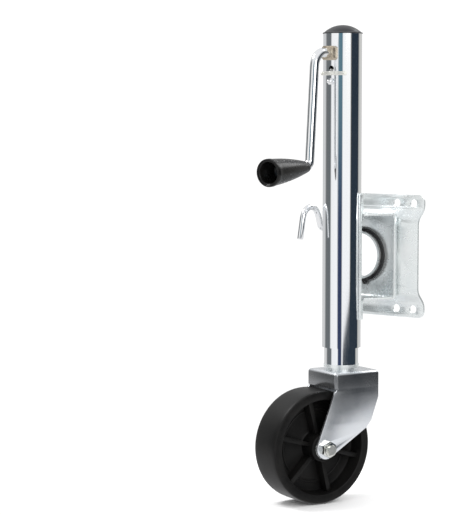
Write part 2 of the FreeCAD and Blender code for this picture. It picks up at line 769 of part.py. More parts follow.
def crank_bush():
    """Brass bush: a square boss with cut corners outside the tube, and a sleeve through its wall."""
    half = boss_across / 2
    face = -boss_reach
    boss = box("boss_block", (-half, face, crank_z - half), (half, -tube_radius + 8, crank_z + half))
    round_off = cylinder("boss_round", half * 1.24, 20, (0, face, crank_z), ALONG_Y)
    rounded = common("boss_rounded", boss, round_off)
    tube = cylinder("boss_tube_cut", tube_radius, 60, (0, 0, crank_z - 30))
    outside = cut("boss_outside", rounded, tube)
    sleeve_length = boss_reach - bush_inner_reach
    sleeve = cylinder("bush_sleeve", bush_dia / 2, sleeve_length, (0, -boss_reach, crank_z), ALONG_Y)
    bore = cylinder("bush_bore", rod_dia / 2 + running_fit, 20, (0, -boss_reach - 1, crank_z), ALONG_Y)
    metal = fuse("bush_metal", outside, sleeve)
    in_column(cut("bush_solid", metal, bore), "crank_bush")


def rear_bush():
    """Plain bearing for the crank shaft's inner end, in the tube's far wall."""
    start = (size(0), tube_bore_radius - 4, crank_z)
    sleeve = cylinder("rear_bush_sleeve", 6, tube_wall + 3.6, start, ALONG_Y)
    flange = cylinder("rear_bush_flange", 8, 1.6, (0, tube_bore_radius - 4, crank_z), ALONG_Y)
    bore = cylinder("rear_bush_bore", journal_dia / 2 + running_fit, 20, start, ALONG_Y)
    in_column(cut("rear_bush_solid", fuse("rear_bush_metal", sleeve, flange), bore), "rear_bush")


def support_plate():
    """Disc across the tube that carries the lift screw."""
    low = rim_z - plate_drop - plate_thick
    plate = ring("support_plate_solid", tube_bore_radius, neck_dia / 2 + 0.5, plate_thick, (0, 0, low))
    in_column(plate, "support_plate")


def bearing_race(name, top):
    """One flat race of the thrust bearing, hung below a height."""
    race = ring(f"{name}_solid", race_dia / 2, neck_dia / 2 + 0.3, race_thick, (0, 0, top - race_thick))
    in_column(race, name)


def bearing_balls():
    """The thrust bearing's ring of balls, as one group of separate solids."""
    play = 0.02
    radius = ball_dia.value / 2
    centre_z = (race_top_z - race_thick).value - play - radius
    circle = (race_dia.value + neck_dia.value) / 4 + 0.2
    balls = []
    for count in range(int(ball_count.value)):
        angle = 2 * math.pi * count / ball_count.value
        centre = Vector(circle * math.cos(angle), circle * math.sin(angle), centre_z)
        balls.append(Part.makeSphere(radius, centre))
    group = doc.addObject("Part::Feature", "bearing_balls_solid")
    group.Shape = Part.makeCompound(balls)
    in_column(group, "bearing_balls")


def guard_strap():
    """Short strap bent round the tube below the crank."""
    height, reach, thick = 5, 90, 2
    low = rim_z - 51.5 - height / 2
    shell = solid(
        "Cylinder",
        "strap_outside",
        (0, 0, low),
        turn((0, 0, 1), -90 - reach / 2),
        Radius=tube_radius + thick,
        Height=height,
        Angle=reach,
    )
    core = cylinder("strap_inside", tube_radius, height, (0, 0, low))
    in_column(cut("strap_solid", shell, core), "guard_strap")


def strap_rivets():
    """The two rivets that hold the strap, one group."""
    rivets = []
    for side in (-1, 1):
        heading = turn((0, 0, 1), 41.5 * side)
        out = heading.multVec(Vector(0, -1, 0))
        start = out * (tube_radius.value + 2)
        level = rim_z.value - 51.5
        dome = Part.makeSphere(2.6, Vector(start.x, start.y, level))
        keep = Part.makeCylinder(2.3, 1.4, Vector(start.x, start.y, level), out)
        rivets.append(dome.common(keep))
    group = doc.addObject("Part::Feature", "strap_rivets_solid")
    group.Shape = Part.makeCompound(rivets)
    in_column(group, "strap_rivets")


def grease_nipple():
    """Grease nipple in the tube's wall: stem, hexagon, neck and ball end."""
    level = rim_z - 62
    stem = cylinder("nipple_stem", 3, 6, (0, -tube_radius, level), ALONG_Y)
    flats = hexagon("nipple_flats", 8, 3, (0, -tube_radius - 3, level), ALONG_Y)
    neck = cylinder("nipple_neck", 1.9, 3, (0, -tube_radius - 6, level), ALONG_Y)
    ball = solid("Sphere", "nipple_ball", (0, -tube_radius - 6.2, level), None, Radius=2.4)
    in_column(fuse("nipple_solid", stem, flats, neck, ball), "grease_nipple")


# ---- crank and grip ----


def crank_rod():
    """Bent rod: inner journal, shaft, arm, and the pin that the grip turns on."""
    body = new_body("crank_rod_body")
    reach = grip_start + grip_length - grip_cup_depth + 8
    tip_y = -arm_reach - reach * turned("cos", grip_tilt)
    tip = (tip_y, crank_z - arm_drop - reach * turned("sin", grip_tilt))
    route = blank_sketch(body, "crank_route", "YZ_Plane")
    corners = [
        (-gear_inner_radius, crank_z),
        (-elbow_reach, crank_z),
        (-arm_reach, crank_z - arm_drop),
        tip,
    ]
    draw_route(route, corners, [elbow_radius, wrist_radius])
    section = blank_sketch(body, "crank_section", "XZ_Plane", gear_inner_radius)
    draw_circle(section, 0, crank_z, rod_dia / 2)
    doc.recompute()
    sweep = body.newObject("PartDesign::AdditivePipe", "crank_sweep")
    sweep.Profile = section
    sweep.Spine = (route, [f"Edge{count + 1}" for count in range(len(route.Shape.Edges))])
    journal = blank_sketch(body, "crank_journal", "XZ_Plane", gear_inner_radius)
    draw_circle(journal, 0, crank_z, journal_dia / 2)
    pad(body, journal, gear_inner_radius + tube_radius - 1, reverse=True)
    doc.recompute()
    shaft = grip_sleeve("crank_rod_turned_down", body)
    in_column(shaft, "crank_rod")


def grip_axis():
    """Where the grip's axis starts in the column frame, and its rotation."""
    base = (size(0), -arm_reach, crank_z - arm_drop)
    return base, turn((1, 0, 0), 90 + grip_tilt.value)


def grip_sleeve(name, rod):
    """The rod with its end turned down to the grip pin's diameter."""
    base, rotation = grip_axis()
    out = rotation.multVec(Vector(0, 0, 1))
    place_at = Vector(*[number.value for number in base]) + out * (grip_start.value + 1)
    tube = ring(f"{name}_ring", rod_dia, grip_pin_dia / 2, grip_length, tuple(place_at), rotation)
    return cut(name, rod, tube)


def crank_grip():
    """Tapered hollow grip, open at its large end, bored for the rod."""
    body = new_body("crank_grip_body")
    small, large = grip_small / 2, grip_large / 2
    bore = grip_pin_dia / 2 + running_fit
    mouth = large - 3.2
    start, end = grip_start + 1.2, grip_start + grip_length
    floor = end - grip_cup_depth
    length = grip_length.value
    section = blank_sketch(body, "grip_section", "XZ_Plane")
    corners = [
        (bore, start),
        (small - 0.8, start),
        (small, start + 1.5, size(length * 3.4), 1),
        (large - 0.3, end - 8, size(16), 1),
        (large - 0.9, end - 1.2),
        (large - 2, end),
        (mouth, end),
        (mouth - 0.6, end - 1),
        (mouth - 3, floor + 3),
        (mouth - 6, floor),
        (bore, floor),
    ]
    draw_outline(section, corners)
    revolve(body, section, "V_Axis")
    base, rotation = grip_axis()
    in_column(body, "crank_grip", base[0], base[1], base[2], rotation)


def grip_clip():
    """Push-on cap nut that keeps the grip on its pin."""
    floor = grip_start + grip_length - grip_cup_depth
    washer = ring("clip_washer", 8, grip_pin_dia / 2, 1.4, (0, 0, floor + 0.3))
    collar = ring("clip_collar", 6, grip_pin_dia / 2, 4, (0, 0, floor + 1.7))
    base, rotation = grip_axis()
    clip = fuse("grip_clip_solid", washer, collar)
    in_column(clip, "grip_clip", base[0], base[1], base[2], rotation)


def bevel_gear(name, bore, hub_end):
    """Mitre gear on local Z with its cone's apex at the origin; the teeth lie below the apex."""
    body = new_body(f"{name}_body")
    far, near = gear_pitch_radius, gear_inner_radius
    root = turned("tan", gear_root_angle)
    tip = turned("tan", gear_tip_angle)
    blank = blank_sketch(body, f"{name}_blank", "XZ_Plane")
    corners = [
        (bore, -near),
        (near * root, -near),
        (far * root, -far),
        (gear_hub / 2, -far),
        (gear_hub / 2, -hub_end),
        (bore, -hub_end),
    ]
    draw_outline(blank, corners)
    revolve(body, blank, "V_Axis")
    sections = []
    for end, level in (("far", far), ("near", near)):
        drawing = blank_sketch(body, f"{name}_tooth_{end}", "XY_Plane", -level)
        inner, outer = level * root * 0.97, level * tip
        wide, narrow = turned("sin", tooth_root_half), turned("sin", tooth_tip_half)
        outline = [
            (inner, -(level * root * wide)),
            (outer, -(level * tip * narrow)),
            (outer, level * tip * narrow),
            (inner, level * root * wide),
        ]
        draw_outline(drawing, outline)
        sections.append(drawing)
    tooth = body.newObject("PartDesign::AdditiveLoft", f"{name}_tooth")
    tooth.Profile = sections[0]
    tooth.Sections = [sections[1]]
    tooth.Ruled = True
    doc.recompute()
    polar(body, tooth, "Z_Axis", gear_teeth)
    return body


def pinion():
    """Bevel pinion on the crank shaft, meshing half a tooth out of step with the screw's gear."""
    half_tooth = 180 / gear_teeth.value
    rotation = turn((1, 0, 0), -90).multiply(turn((0, 0, 1), 90 + half_tooth))
    gear = bevel_gear("pinion", rod_dia / 2, gear_pitch_radius + 5.5)
    in_column(gear, "crank_pinion", z=crank_z, rotation=rotation)


def screw_gear():
    """Bevel gear on the lift screw's neck."""
    gear = bevel_gear("screw_gear", neck_dia / 2, plate_drop - crank_drop - turn_gap)
    in_column(gear, "screw_gear", z=crank_z, rotation=turn((0, 0, 1), 90))


# ---- lift screw ----


race_top_z = rim_z - plate_drop - plate_thick
screw_collar_z = race_top_z - race_thick * 2 - ball_dia - 0.04


def lift_screw():
    """Lift screw: neck through the bearing, collar under it, and the threaded length as a plain rod."""
    foot = rim_z - screw_foot_drop
    neck_top = crank_z - gear_inner_radius
    neck = cylinder("screw_neck", neck_dia / 2, neck_top - screw_collar_z, (0, 0, screw_collar_z))
    collar_low = screw_collar_z - collar_thick
    collar = cylinder("screw_collar", race_dia / 2, collar_thick, (0, 0, collar_low))
    shank = cylinder("screw_shank", screw_dia / 2, collar_low - foot, (0, 0, foot))
    joined = fuse("screw_joined", neck, collar, shank)
    in_column(joined, "lift_screw")


# ---- ram: the inner tube and what is fixed to it ----


def inner_tube():
    """Inner tube."""
    bore = ram_outer / 2 - ram_wall
    tube = ring("inner_tube_solid", ram_outer / 2, bore, ram_length, (0, 0, ram_foot_z))
    in_column(tube, "inner_tube")


def lift_nut():
    """Nut fixed in the inner tube's upper end."""
    low = ram_foot_z + ram_length - nut_height
    bore = screw_dia / 2 + running_fit
    nut = ring("lift_nut_solid", ram_outer / 2 - ram_wall, bore, nut_height, (0, 0, low))
    in_column(nut, "lift_nut")


def bottom_plug():
    """Plug in the inner tube's lower end, with the flange that the fork bears on."""
    low = ram_foot_z - foot_flange_thick
    flange = cylinder("plug_flange", foot_flange_dia / 2, foot_flange_thick, (0, 0, low))
    plug = cylinder("plug_spigot", ram_outer / 2 - ram_wall, plug_depth, (0, 0, ram_foot_z))
    hole = cylinder("plug_hole", kingpin_dia / 2, 60, (0, 0, low - 5))
    in_column(cut("plug_solid", fuse("plug_metal", flange, plug), hole), "bottom_plug")


def kingpin():
    """Kingpin riveted in the plug; the fork turns on it, above its head."""
    head_top = fork_z - fork_sheet - turn_gap
    head = cylinder("kingpin_flat_head", kingpin_head_dia / 2, kingpin_head, (0, 0, head_top - kingpin_head))
    shank_top = ram_foot_z + plug_depth
    shank = cylinder("kingpin_shank", kingpin_dia / 2, shank_top - head_top, (0, 0, head_top))
    upset = cylinder("kingpin_upset", kingpin_dia / 2 + 2.5, 3, (0, 0, shank_top))
    in_column(fuse("kingpin_solid", head, shank, upset), "kingpin")


# ---- caster: fork, axle and wheel, in the caster frame ----


def fork_leg(name, x):
    """One leg of the fork: wide at the top, tapering to a round end at the axle."""
    body = new_body(name)
    section = blank_sketch(body, f"{name}_section", "YZ_Plane", x)
    end = leg_end_radius
    outline = [
        (-fork_front, fork_z),
        (fork_back, fork_z),
        (fork_back, fork_z - 35),
        (fork_back - 11, fork_z - 65),
        (fork_back - 19.5, fork_z - 75),
        (-trail + end * 0.556, axle_z - end * 0.831, end, -1),
        (-trail - end * 0.933, axle_z + end * 0.36),
        (-fork_front, fork_z - 24.5),
    ]
    draw_outline(section, outline)
    pad(body, section, fork_sheet)
    hole = blank_sketch(body, f"{name}_hole", "YZ_Plane", x)
    draw_circle(hole, -trail, axle_z, bolt_dia / 2 + 0.1)
    pocket_through(body, hole)
    return body


def caster_fork():
    """Pressed fork: top plate, two legs and the apron between them, with rounded outer bends."""
    half = fork_width / 2
    top = box("fork_top", (-half, -fork_front, fork_z - fork_sheet), (half, fork_back, fork_z))
    apron_low = (-half, -fork_front, fork_z - apron_depth)
    apron = box("fork_apron", apron_low, (half, -fork_front + fork_sheet, fork_z))
    legs = [fork_leg("fork_leg_far", -half), fork_leg("fork_leg_near", half - fork_sheet)]
    shell = fuse("fork_shell", top, apron, *legs)
    doc.recompute()
    bends = []
    for count, edge in enumerate(shell.Shape.Edges, 1):
        middle = edge.CenterOfMass
        side = abs(abs(middle.x) - half.value) < 1e-3
        upper = abs(middle.z - fork_z.value) < 1e-3
        face = abs(middle.y + fork_front.value) < 1e-3
        if (side and upper and along(edge, (0, 1, 0))) or (face and upper) or (side and face):
            bends.append((count, 3.2, 3.2))
    rounded = doc.addObject("Part::Fillet", "fork_rounded")
    rounded.Base = shell
    rounded.Edges = bends
    hole = cylinder("fork_kingpin_hole", kingpin_dia / 2 + running_fit, 40, (0, 0, fork_z - 20))
    in_caster(cut("fork_solid", rounded, hole), "caster_fork")


def swivel_washer():
    """Washer between the fork and the flange above it."""
    height = ram_foot_z - foot_flange_thick - turn_gap - fork_z
    washer = ring("swivel_washer_solid", swivel_washer_dia / 2, kingpin_dia / 2 + 1, height, (0, 0, fork_z))
    in_caster(washer, "swivel_washer")


def axle_bolt():
    """Axle bolt across the fork, its head on the far side."""
    start = -(fork_width / 2) - bolt_head
    length = bolt_head + fork_width + nut_thick + 5
    shank = cylinder("axle_shank", bolt_dia / 2, length, (start, -trail, axle_z), ALONG_X)
    head = hexagon("axle_head", bolt_across, bolt_head, (start, -trail, axle_z), ALONG_X)
    in_caster(fuse("axle_bolt_solid", shank, head), "axle_bolt")


def axle_nut():
    """Lock nut: a chamfered hexagon with a round collar."""
    start = (fork_width / 2, -trail, axle_z)
    flats = hexagon("nut_flats", bolt_across, nut_thick, start, ALONG_X)
    corner = bolt_across / turned("cos", 30) / 2
    chamfer = solid(
        "Cone",
        "nut_chamfer",
        start,
        ALONG_X,
        Radius1=corner + nut_thick - 1,
        Radius2=corner - 1,
        Height=nut_thick,
    )
    collar = cylinder("nut_collar", bolt_across / 2 - 1, nut_thick + 2.4, start, ALONG_X)
    hole = cylinder("nut_hole", bolt_dia / 2, 30, (fork_width / 2 - 5, -trail, axle_z), ALONG_X)
    metal = fuse("nut_metal", common("nut_trimmed", flats, chamfer), collar)
    in_caster(cut("axle_nut_solid", metal, hole), "axle_nut")


def axle_sleeve():
    """Sleeve clamped between the fork's legs; the wheel turns on it."""
    length = fork_width - fork_sheet * 2
    start = (-(length / 2), -trail, axle_z)
    sleeve = ring("axle_sleeve_solid", sleeve_dia / 2, bolt_dia / 2, length, start, ALONG_X)
    in_caster(sleeve, "axle_sleeve")


def axle_washers():
    """The two washers beside the hub, one group."""
    inner = sleeve_dia.value / 2
    outer = axle_washer_dia.value / 2
    thick = axle_washer_thick.value
    leg = fork_width.value / 2 - fork_sheet.value
    washers = []
    for start in (-leg, leg - thick):
        base = Vector(start, -trail.value, axle_z.value)
        disc = Part.makeCylinder(outer, thick, base, Vector(1, 0, 0))
        hole = Part.makeCylinder(inner, thick, base, Vector(1, 0, 0))
        washers.append(disc.cut(hole))
    group = doc.addObject("Part::Feature", "axle_washers_solid")
    group.Shape = Part.makeCompound(washers)
    in_caster(group, "axle_washers")


def wheel():
    """Moulded wheel: crowned tread, rim, web, hub and radial ribs on both faces, on local Z."""
    body = new_body("wheel_body")
    outer, rim = wheel_dia / 2, rim_inner_dia / 2
    half, hub, web = wheel_width / 2, hub_width / 2, web_thick / 2
    bore = sleeve_dia / 2 + running_fit
    right = [
        (bore, hub),
        (hub_dia / 2 - 1, hub),
        (hub_dia / 2, hub - 1),
        (hub_dia / 2 + 1.5, web),
        (rim - 3, web),
        (rim, half - 1),
        (rim + 1, half),
        (outer - tread_round - 1, half),
        (outer - tread_round + 0.4, half - 0.7, tread_round, -1),
        (outer - 0.9, half - tread_round - 0.5, size(320), -1),
    ]
    left = [
        (outer - 0.9, -half + tread_round + 0.5, tread_round, -1),
        (outer - tread_round + 0.4, -half + 0.7),
    ]
    left += [(corner[0], -corner[1]) for corner in reversed(right[:8])]
    section = blank_sketch(body, "wheel_section", "XZ_Plane")
    draw_outline(section, right + left)
    revolve(body, section, "V_Axis")
    rib = blank_sketch(body, "wheel_rib", "XY_Plane")
    near, far = hub_dia / 2 - 1, rim - 1
    foot, head = rib_thick / 2, rib_thick / 2 + 0.8
    draw_outline(rib, [(near, -foot), (far, -head), (far, head), (near, foot)])
    ribs = pad(body, rib, rib_width, symmetric=True)
    doc.recompute()
    polar(body, ribs, "Z_Axis", rib_count)
    heading = turn((0, 0, 1), caster_heading.value)
    rotation = heading.multiply(ALONG_X).multiply(turn((0, 0, 1), rib_heading.value))
    axle_x = trail * turned("sin", caster_heading)
    axle_y = -(trail * turned("cos", caster_heading))
    in_column(body, "wheel", axle_x, axle_y, axle_z, rotation)


# ---- pull pin ----


def lock_pin():
    """Pull pin: a straight rod that ends in a hooked finger handle."""
    body = new_body("lock_pin_body")
    route = blank_sketch(body, "pin_route", "YZ_Plane", -pin_side)
    hook_top = pin_height + 29
    corners = [
        (web_back, pin_height),
        (size(-1), pin_height),
        (size(-11.5), hook_top),
        (size(-38.7), hook_top),
        (size(-47.5), pin_height - 12),
    ]
    draw_route(route, corners, [size(8), size(17.6), size(17.6)])
    section = blank_sketch(body, "pin_section", "XZ_Plane", -web_back)
    draw_circle(section, -pin_side, pin_height, pin_dia / 2)
    doc.recompute()
    sweep = body.newObject("PartDesign::AdditivePipe", "pin_sweep")
    sweep.Profile = section
    sweep.Spine = (route, [f"Edge{count + 1}" for count in range(len(route.Shape.Edges))])
    in_column(body, "lock_pin")


def pin_collar():
    """Collar on the pull pin that the spring pushes."""
    start = (-pin_side, web_front - collar_place, pin_height)
    collar = ring("pin_collar_solid", housing_bore / 2 - 0.3, pin_dia / 2, 2.5, start, ALONG_Y)
    in_column(collar, "pin_collar")


def pin_spring():
    """Return spring of the pull pin, wound round it inside the housing."""
    half_wire = spring_wire.value / 2
    start = (web_front - housing_length).value + 2.5 + half_wire + 0.1
    length = (web_front - collar_place).value - half_wire - 0.1 - start
    radius = (housing_bore.value - spring_wire.value) / 2 - 0.35
    path = Part.Wire(Part.makeHelix(length / spring_turns.value, length, radius).Edges)
    tangent = path.Edges[0].tangentAt(path.Edges[0].FirstParameter)
    section = Part.Wire(Part.makeCircle(half_wire, Vector(radius, 0, 0), tangent))
    side = (tube_offset_x - pin_side).value
    spring = doc.addObject("Part::Feature", "pin_spring_coil")
    spring.Shape = path.makePipeShell([section], True, True)
    spring.Placement = FreeCAD.Placement(Vector(side, tube_offset_y.value + start, pin_height.value), ALONG_Y)
    spring.Label = "pin_spring"
    SUBPARTS.append(spring)


# ---- build ----

BUILDERS = [
    mount_plate,
    pivot_spindle,
    pivot_washer,
    pivot_retainer,
    outer_tube,
    top_cap,
    saddle,
    pin_housing,
    crank_bush,
    rear_bush,
    support_plate,
    bearing_balls,
    guard_strap,
    strap_rivets,
    grease_nipple,
    crank_rod,
    crank_grip,
    grip_clip,
    pinion,
    screw_gear,
    lift_screw,
    inner_tube,
    lift_nut,
    bottom_plug,
    kingpin,
    caster_fork,
    swivel_washer,
    axle_bolt,
    axle_nut,
    axle_sleeve,
    axle_washers,
    wheel,
    lock_pin,
    pin_collar,
    pin_spring,
]
for build in BUILDERS:
    build()
bearing_race("upper_race", race_top_z)
bearing_race("lower_race", race_top_z - race_thick - ball_dia - 0.04)
doc.recompute()

for thing in doc.Objects:
    failed = {"Invalid", "Error"} & set(thing.State)
    assert not failed, f"{thing.Label}: {thing.State}"
for thing in SUBPARTS:
    assert not thing.Shape.isNull(), f"{thing.Label} is empty"
    assert thing.Shape.isValid(), f"{thing.Label} isn't valid"
os.makedirs("parts", exist_ok=True)
for thing in SUBPARTS:
    thing.Shape.exportStep(f"parts/{thing.Label}.step")
    print(f"{thing.Label:22s} solids {len(thing.Shape.Solids)} volume {thing.Shape.Volume:10.1f}")
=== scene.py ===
# %% [markdown]
# A side-wind trailer jack, dressed for a studio view
#
# The working model of the jack arrives ready made: every tube, bracket, gear and bolt is already in its place.
# This notebook leaves the exact mechanical pieces alone and gives them finishes, and it models afresh the pieces
# whose charm is in soft edges and small detail: the moulded wheel, the grip, the cap, the bent rods and the
# pressed steel. Blender works in metres here, with Z up and the crank pointing towards -Y.

# %% Load the jack
import json
import math

import bmesh
import bpy
from mathutils import Matrix, Vector


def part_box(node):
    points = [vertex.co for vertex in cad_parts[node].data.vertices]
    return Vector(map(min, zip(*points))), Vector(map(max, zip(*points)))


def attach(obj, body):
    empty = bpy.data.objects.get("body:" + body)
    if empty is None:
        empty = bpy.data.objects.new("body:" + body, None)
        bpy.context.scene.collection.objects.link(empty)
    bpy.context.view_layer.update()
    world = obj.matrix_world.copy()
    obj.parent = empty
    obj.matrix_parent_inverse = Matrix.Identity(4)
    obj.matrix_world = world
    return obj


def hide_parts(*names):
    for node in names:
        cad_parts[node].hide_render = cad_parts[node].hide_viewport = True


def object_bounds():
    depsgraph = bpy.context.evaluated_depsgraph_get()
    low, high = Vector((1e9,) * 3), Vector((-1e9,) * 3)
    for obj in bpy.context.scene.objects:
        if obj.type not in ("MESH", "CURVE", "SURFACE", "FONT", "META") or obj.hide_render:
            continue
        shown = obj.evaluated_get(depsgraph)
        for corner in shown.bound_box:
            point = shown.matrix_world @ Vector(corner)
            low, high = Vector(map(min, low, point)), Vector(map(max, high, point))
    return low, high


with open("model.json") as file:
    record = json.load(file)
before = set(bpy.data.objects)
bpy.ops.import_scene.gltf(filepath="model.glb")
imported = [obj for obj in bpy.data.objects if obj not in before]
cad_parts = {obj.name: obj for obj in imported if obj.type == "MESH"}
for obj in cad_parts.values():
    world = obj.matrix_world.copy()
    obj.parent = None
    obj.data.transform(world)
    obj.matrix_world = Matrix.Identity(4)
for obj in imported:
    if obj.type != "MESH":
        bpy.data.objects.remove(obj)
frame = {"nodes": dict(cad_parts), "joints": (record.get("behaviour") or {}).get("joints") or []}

nodes = frame["nodes"]
joints = {joint["name"]: joint for joint in frame["joints"]}
cad_box = [list(corner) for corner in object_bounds()]
MM = 0.001
SHAFT = Vector(joints["crank_turn"]["pos_m"])
AXLE = Vector(joints["wheel_spin"]["pos_m"])
AXLE_WAY = Vector(joints["wheel_spin"]["axis"])
SWIVEL = Vector(joints["caster_swivel"]["pos_m"])
GRIP = Vector(joints["grip_spin"]["pos_m"])
GRIP_WAY = Vector(joints["grip_spin"]["axis"])
print("nodes", len(nodes), "box", cad_box)

# %% [markdown]
# A camera far away with a long lens keeps upright tubes upright, as catalogue views do. It stands to the
# right of the crank, a little below the top of the jack, and looks slightly down at the wheel.

# %% Camera
CAMERA_WAY = Vector((0.574, -0.819, 0.0))
CAMERA_RIGHT = Vector((0.819, 0.574, 0.0))
CAMERA_REACH = 2.4
CAMERA_HEIGHT = 0.190
LENS = 140.9
AIM_LEFT = 0.1425
AIM_HEIGHT = -0.0019

tube_axis = Vector((SHAFT.x, SHAFT.y, 0.0))
camera_data = bpy.data.cameras.new("studio_camera")
camera_data.sensor_fit = "HORIZONTAL"
camera_data.sensor_width = 36.0
camera_data.lens = LENS
camera = bpy.data.objects.new("studio_camera", camera_data)
bpy.context.scene.collection.objects.link(camera)
camera.location = tube_axis + CAMERA_WAY * CAMERA_REACH + Vector((0, 0, CAMERA_HEIGHT))
aim = tube_axis - CAMERA_RIGHT * AIM_LEFT + Vector((0, 0, AIM_HEIGHT))
camera.rotation_euler = (aim - camera.location).to_track_quat("-Z", "Y").to_euler()
bpy.context.scene.camera = camera
bpy.context.scene.view_settings.view_transform = "Standard"
print("camera at", tuple(round(value, 3) for value in camera.location))

# %% [markdown]
# Bright plating shows nothing but its surroundings, so the surroundings are designed first. A studio hangs white
# panels and black flags round the object, and each one becomes an upright band in the tube. Here the same panels
# are drawn in the world's colour, by compass direction, and only mirror rays see them: everything else gets an
# even white. The bands turn darker lower down, and near the foot of the tube a dark wedge closes over the right
# hand white band, as where a dark floor cloth begins.

# %% World with its panels
PANELS = [
    (-180, (0.66, 0.66, 0.66)),
    (-121, (0.66, 0.66, 0.66)),
    (-108, (0.16, 0.17, 0.175)),
    (-74, (0.14, 0.155, 0.165)),
    (-66, (0.95, 0.95, 0.95)),
    (-26, (1.0, 1.0, 1.0)),
    (-21, (0.12, 0.22, 0.27)),
    (-2, (0.10, 0.19, 0.25)),
    (4, (1.0, 1.0, 1.0)),
    (47, (1.0, 1.0, 1.0)),
    (53, (0.075, 0.085, 0.085)),
    (104, (0.065, 0.065, 0.065)),
    (126, (0.62, 0.62, 0.60)),
    (180, (0.66, 0.66, 0.66)),
]
LOW_COLOURS = {
    -21: (0.040, 0.058, 0.125),
    -2: (0.030, 0.045, 0.100),
    53: (0.046, 0.052, 0.055),
    104: (0.040, 0.042, 0.044),
}
HIGH_TINT = 0.010
LOW_TINT = -0.060
CEILING_FOOT = 0.30
CEILING_FULL = 0.70
CEILING_COLOUR = (0.92, 0.93, 0.95, 1)
BELOW_FROM = -0.150
BELOW_FULL = -0.240
BELOW_COLOUR = (0.92, 0.92, 0.93, 1)
WEDGE_COLOUR = (0.022, 0.034, 0.050, 1)
WEDGE_SOFTNESS = 0.016
WHITE_STRENGTH = 1.08
WEDGE_TOP = -0.0976
WEDGE_BOTTOM = -0.1270
WEDGE_RIGHT = 53
WEDGE_LEFT = 6
WEDGE_END = 106


def link(tree, source, target):
    """Join two node sockets."""
    tree.links.new(source, target)


def add_node(tree, kind, **settings):
    """Add a shader node and set its plain properties."""
    node = tree.nodes.new(kind)
    for name, value in settings.items():
        setattr(node, name, value)
    return node


def set_ramp(node, stops):
    """Give a colour ramp its stops, from (position, colour) pairs."""
    ramp = node.color_ramp
    while len(ramp.elements) > 1:
        ramp.elements.remove(ramp.elements[-1])
    ramp.elements[0].position = stops[0][0]
    ramp.elements[0].color = (*stops[0][1], 1.0)
    for position, colour in stops[1:]:
        element = ramp.elements.new(position)
        element.color = (*colour, 1.0)


world = bpy.data.worlds.new("studio")
bpy.context.scene.world = world
world.use_nodes = True
tree = world.node_tree
tree.nodes.clear()
way = add_node(tree, "ShaderNodeTexCoord")
facing = add_node(tree, "ShaderNodeMapping")
facing.inputs["Rotation"].default_value = (0, 0, -math.atan2(CAMERA_WAY.y, CAMERA_WAY.x))
compass = add_node(tree, "ShaderNodeTexGradient", gradient_type="RADIAL")
panels = add_node(tree, "ShaderNodeValToRGB")
set_ramp(panels, [((angle + 180) / 360, colour) for angle, colour in PANELS])
low_panels = add_node(tree, "ShaderNodeValToRGB")
set_ramp(low_panels, [((angle + 180) / 360, LOW_COLOURS.get(angle, colour)) for angle, colour in PANELS])
lowering = add_node(tree, "ShaderNodeMapRange")
lowering.inputs["From Min"].default_value = HIGH_TINT
lowering.inputs["From Max"].default_value = LOW_TINT
with_low = add_node(tree, "ShaderNodeMix", data_type="RGBA")
height = add_node(tree, "ShaderNodeSeparateXYZ")
ceiling = add_node(tree, "ShaderNodeMapRange")
ceiling.inputs["From Min"].default_value = CEILING_FOOT
ceiling.inputs["From Max"].default_value = CEILING_FULL
with_ceiling = add_node(tree, "ShaderNodeMix", data_type="RGBA")
with_ceiling.inputs["B"].default_value = CEILING_COLOUR
wedge = add_node(tree, "ShaderNodeMapRange")
wedge.inputs["From Min"].default_value = WEDGE_TOP
wedge.inputs["From Max"].default_value = WEDGE_BOTTOM
wedge.inputs["To Min"].default_value = (WEDGE_RIGHT + 180) / 360
wedge.inputs["To Max"].default_value = (WEDGE_LEFT + 180) / 360
past_wedge = add_node(tree, "ShaderNodeMath", operation="SUBTRACT")
wedge_edge = add_node(tree, "ShaderNodeMapRange")
wedge_edge.inputs["From Max"].default_value = WEDGE_SOFTNESS
wedge_close = add_node(tree, "ShaderNodeMath", operation="LESS_THAN")
wedge_close.inputs[1].default_value = (WEDGE_END + 180) / 360
wedge_share = add_node(tree, "ShaderNodeMath", operation="MULTIPLY")
with_wedge = add_node(tree, "ShaderNodeMix", data_type="RGBA")
with_wedge.inputs["B"].default_value = WEDGE_COLOUR
below = add_node(tree, "ShaderNodeMapRange")
below.inputs["From Min"].default_value = BELOW_FROM
below.inputs["From Max"].default_value = BELOW_FULL
with_below = add_node(tree, "ShaderNodeMix", data_type="RGBA")
with_below.inputs["B"].default_value = BELOW_COLOUR
mirror_light = add_node(tree, "ShaderNodeBackground")
plain_light = add_node(tree, "ShaderNodeBackground")
plain_light.inputs["Color"].default_value = (1.0, 1.0, 1.0, 1)
plain_light.inputs["Strength"].default_value = WHITE_STRENGTH
ray = add_node(tree, "ShaderNodeLightPath")
choice = add_node(tree, "ShaderNodeMixShader")
output = add_node(tree, "ShaderNodeOutputWorld")
link(tree, way.outputs["Generated"], facing.inputs["Vector"])
link(tree, facing.outputs["Vector"], compass.inputs["Vector"])
link(tree, compass.outputs["Fac"], panels.inputs["Fac"])
link(tree, compass.outputs["Fac"], low_panels.inputs["Fac"])
link(tree, height.outputs["Z"], lowering.inputs["Value"])
link(tree, lowering.outputs["Result"], with_low.inputs["Factor"])
link(tree, panels.outputs["Color"], with_low.inputs["A"])
link(tree, low_panels.outputs["Color"], with_low.inputs["B"])
link(tree, way.outputs["Generated"], height.inputs["Vector"])
link(tree, height.outputs["Z"], ceiling.inputs["Value"])
link(tree, height.outputs["Z"], wedge.inputs["Value"])
link(tree, compass.outputs["Fac"], past_wedge.inputs[0])
link(tree, wedge.outputs["Result"], past_wedge.inputs[1])
link(tree, past_wedge.outputs["Value"], wedge_edge.inputs["Value"])
link(tree, compass.outputs["Fac"], wedge_close.inputs[0])
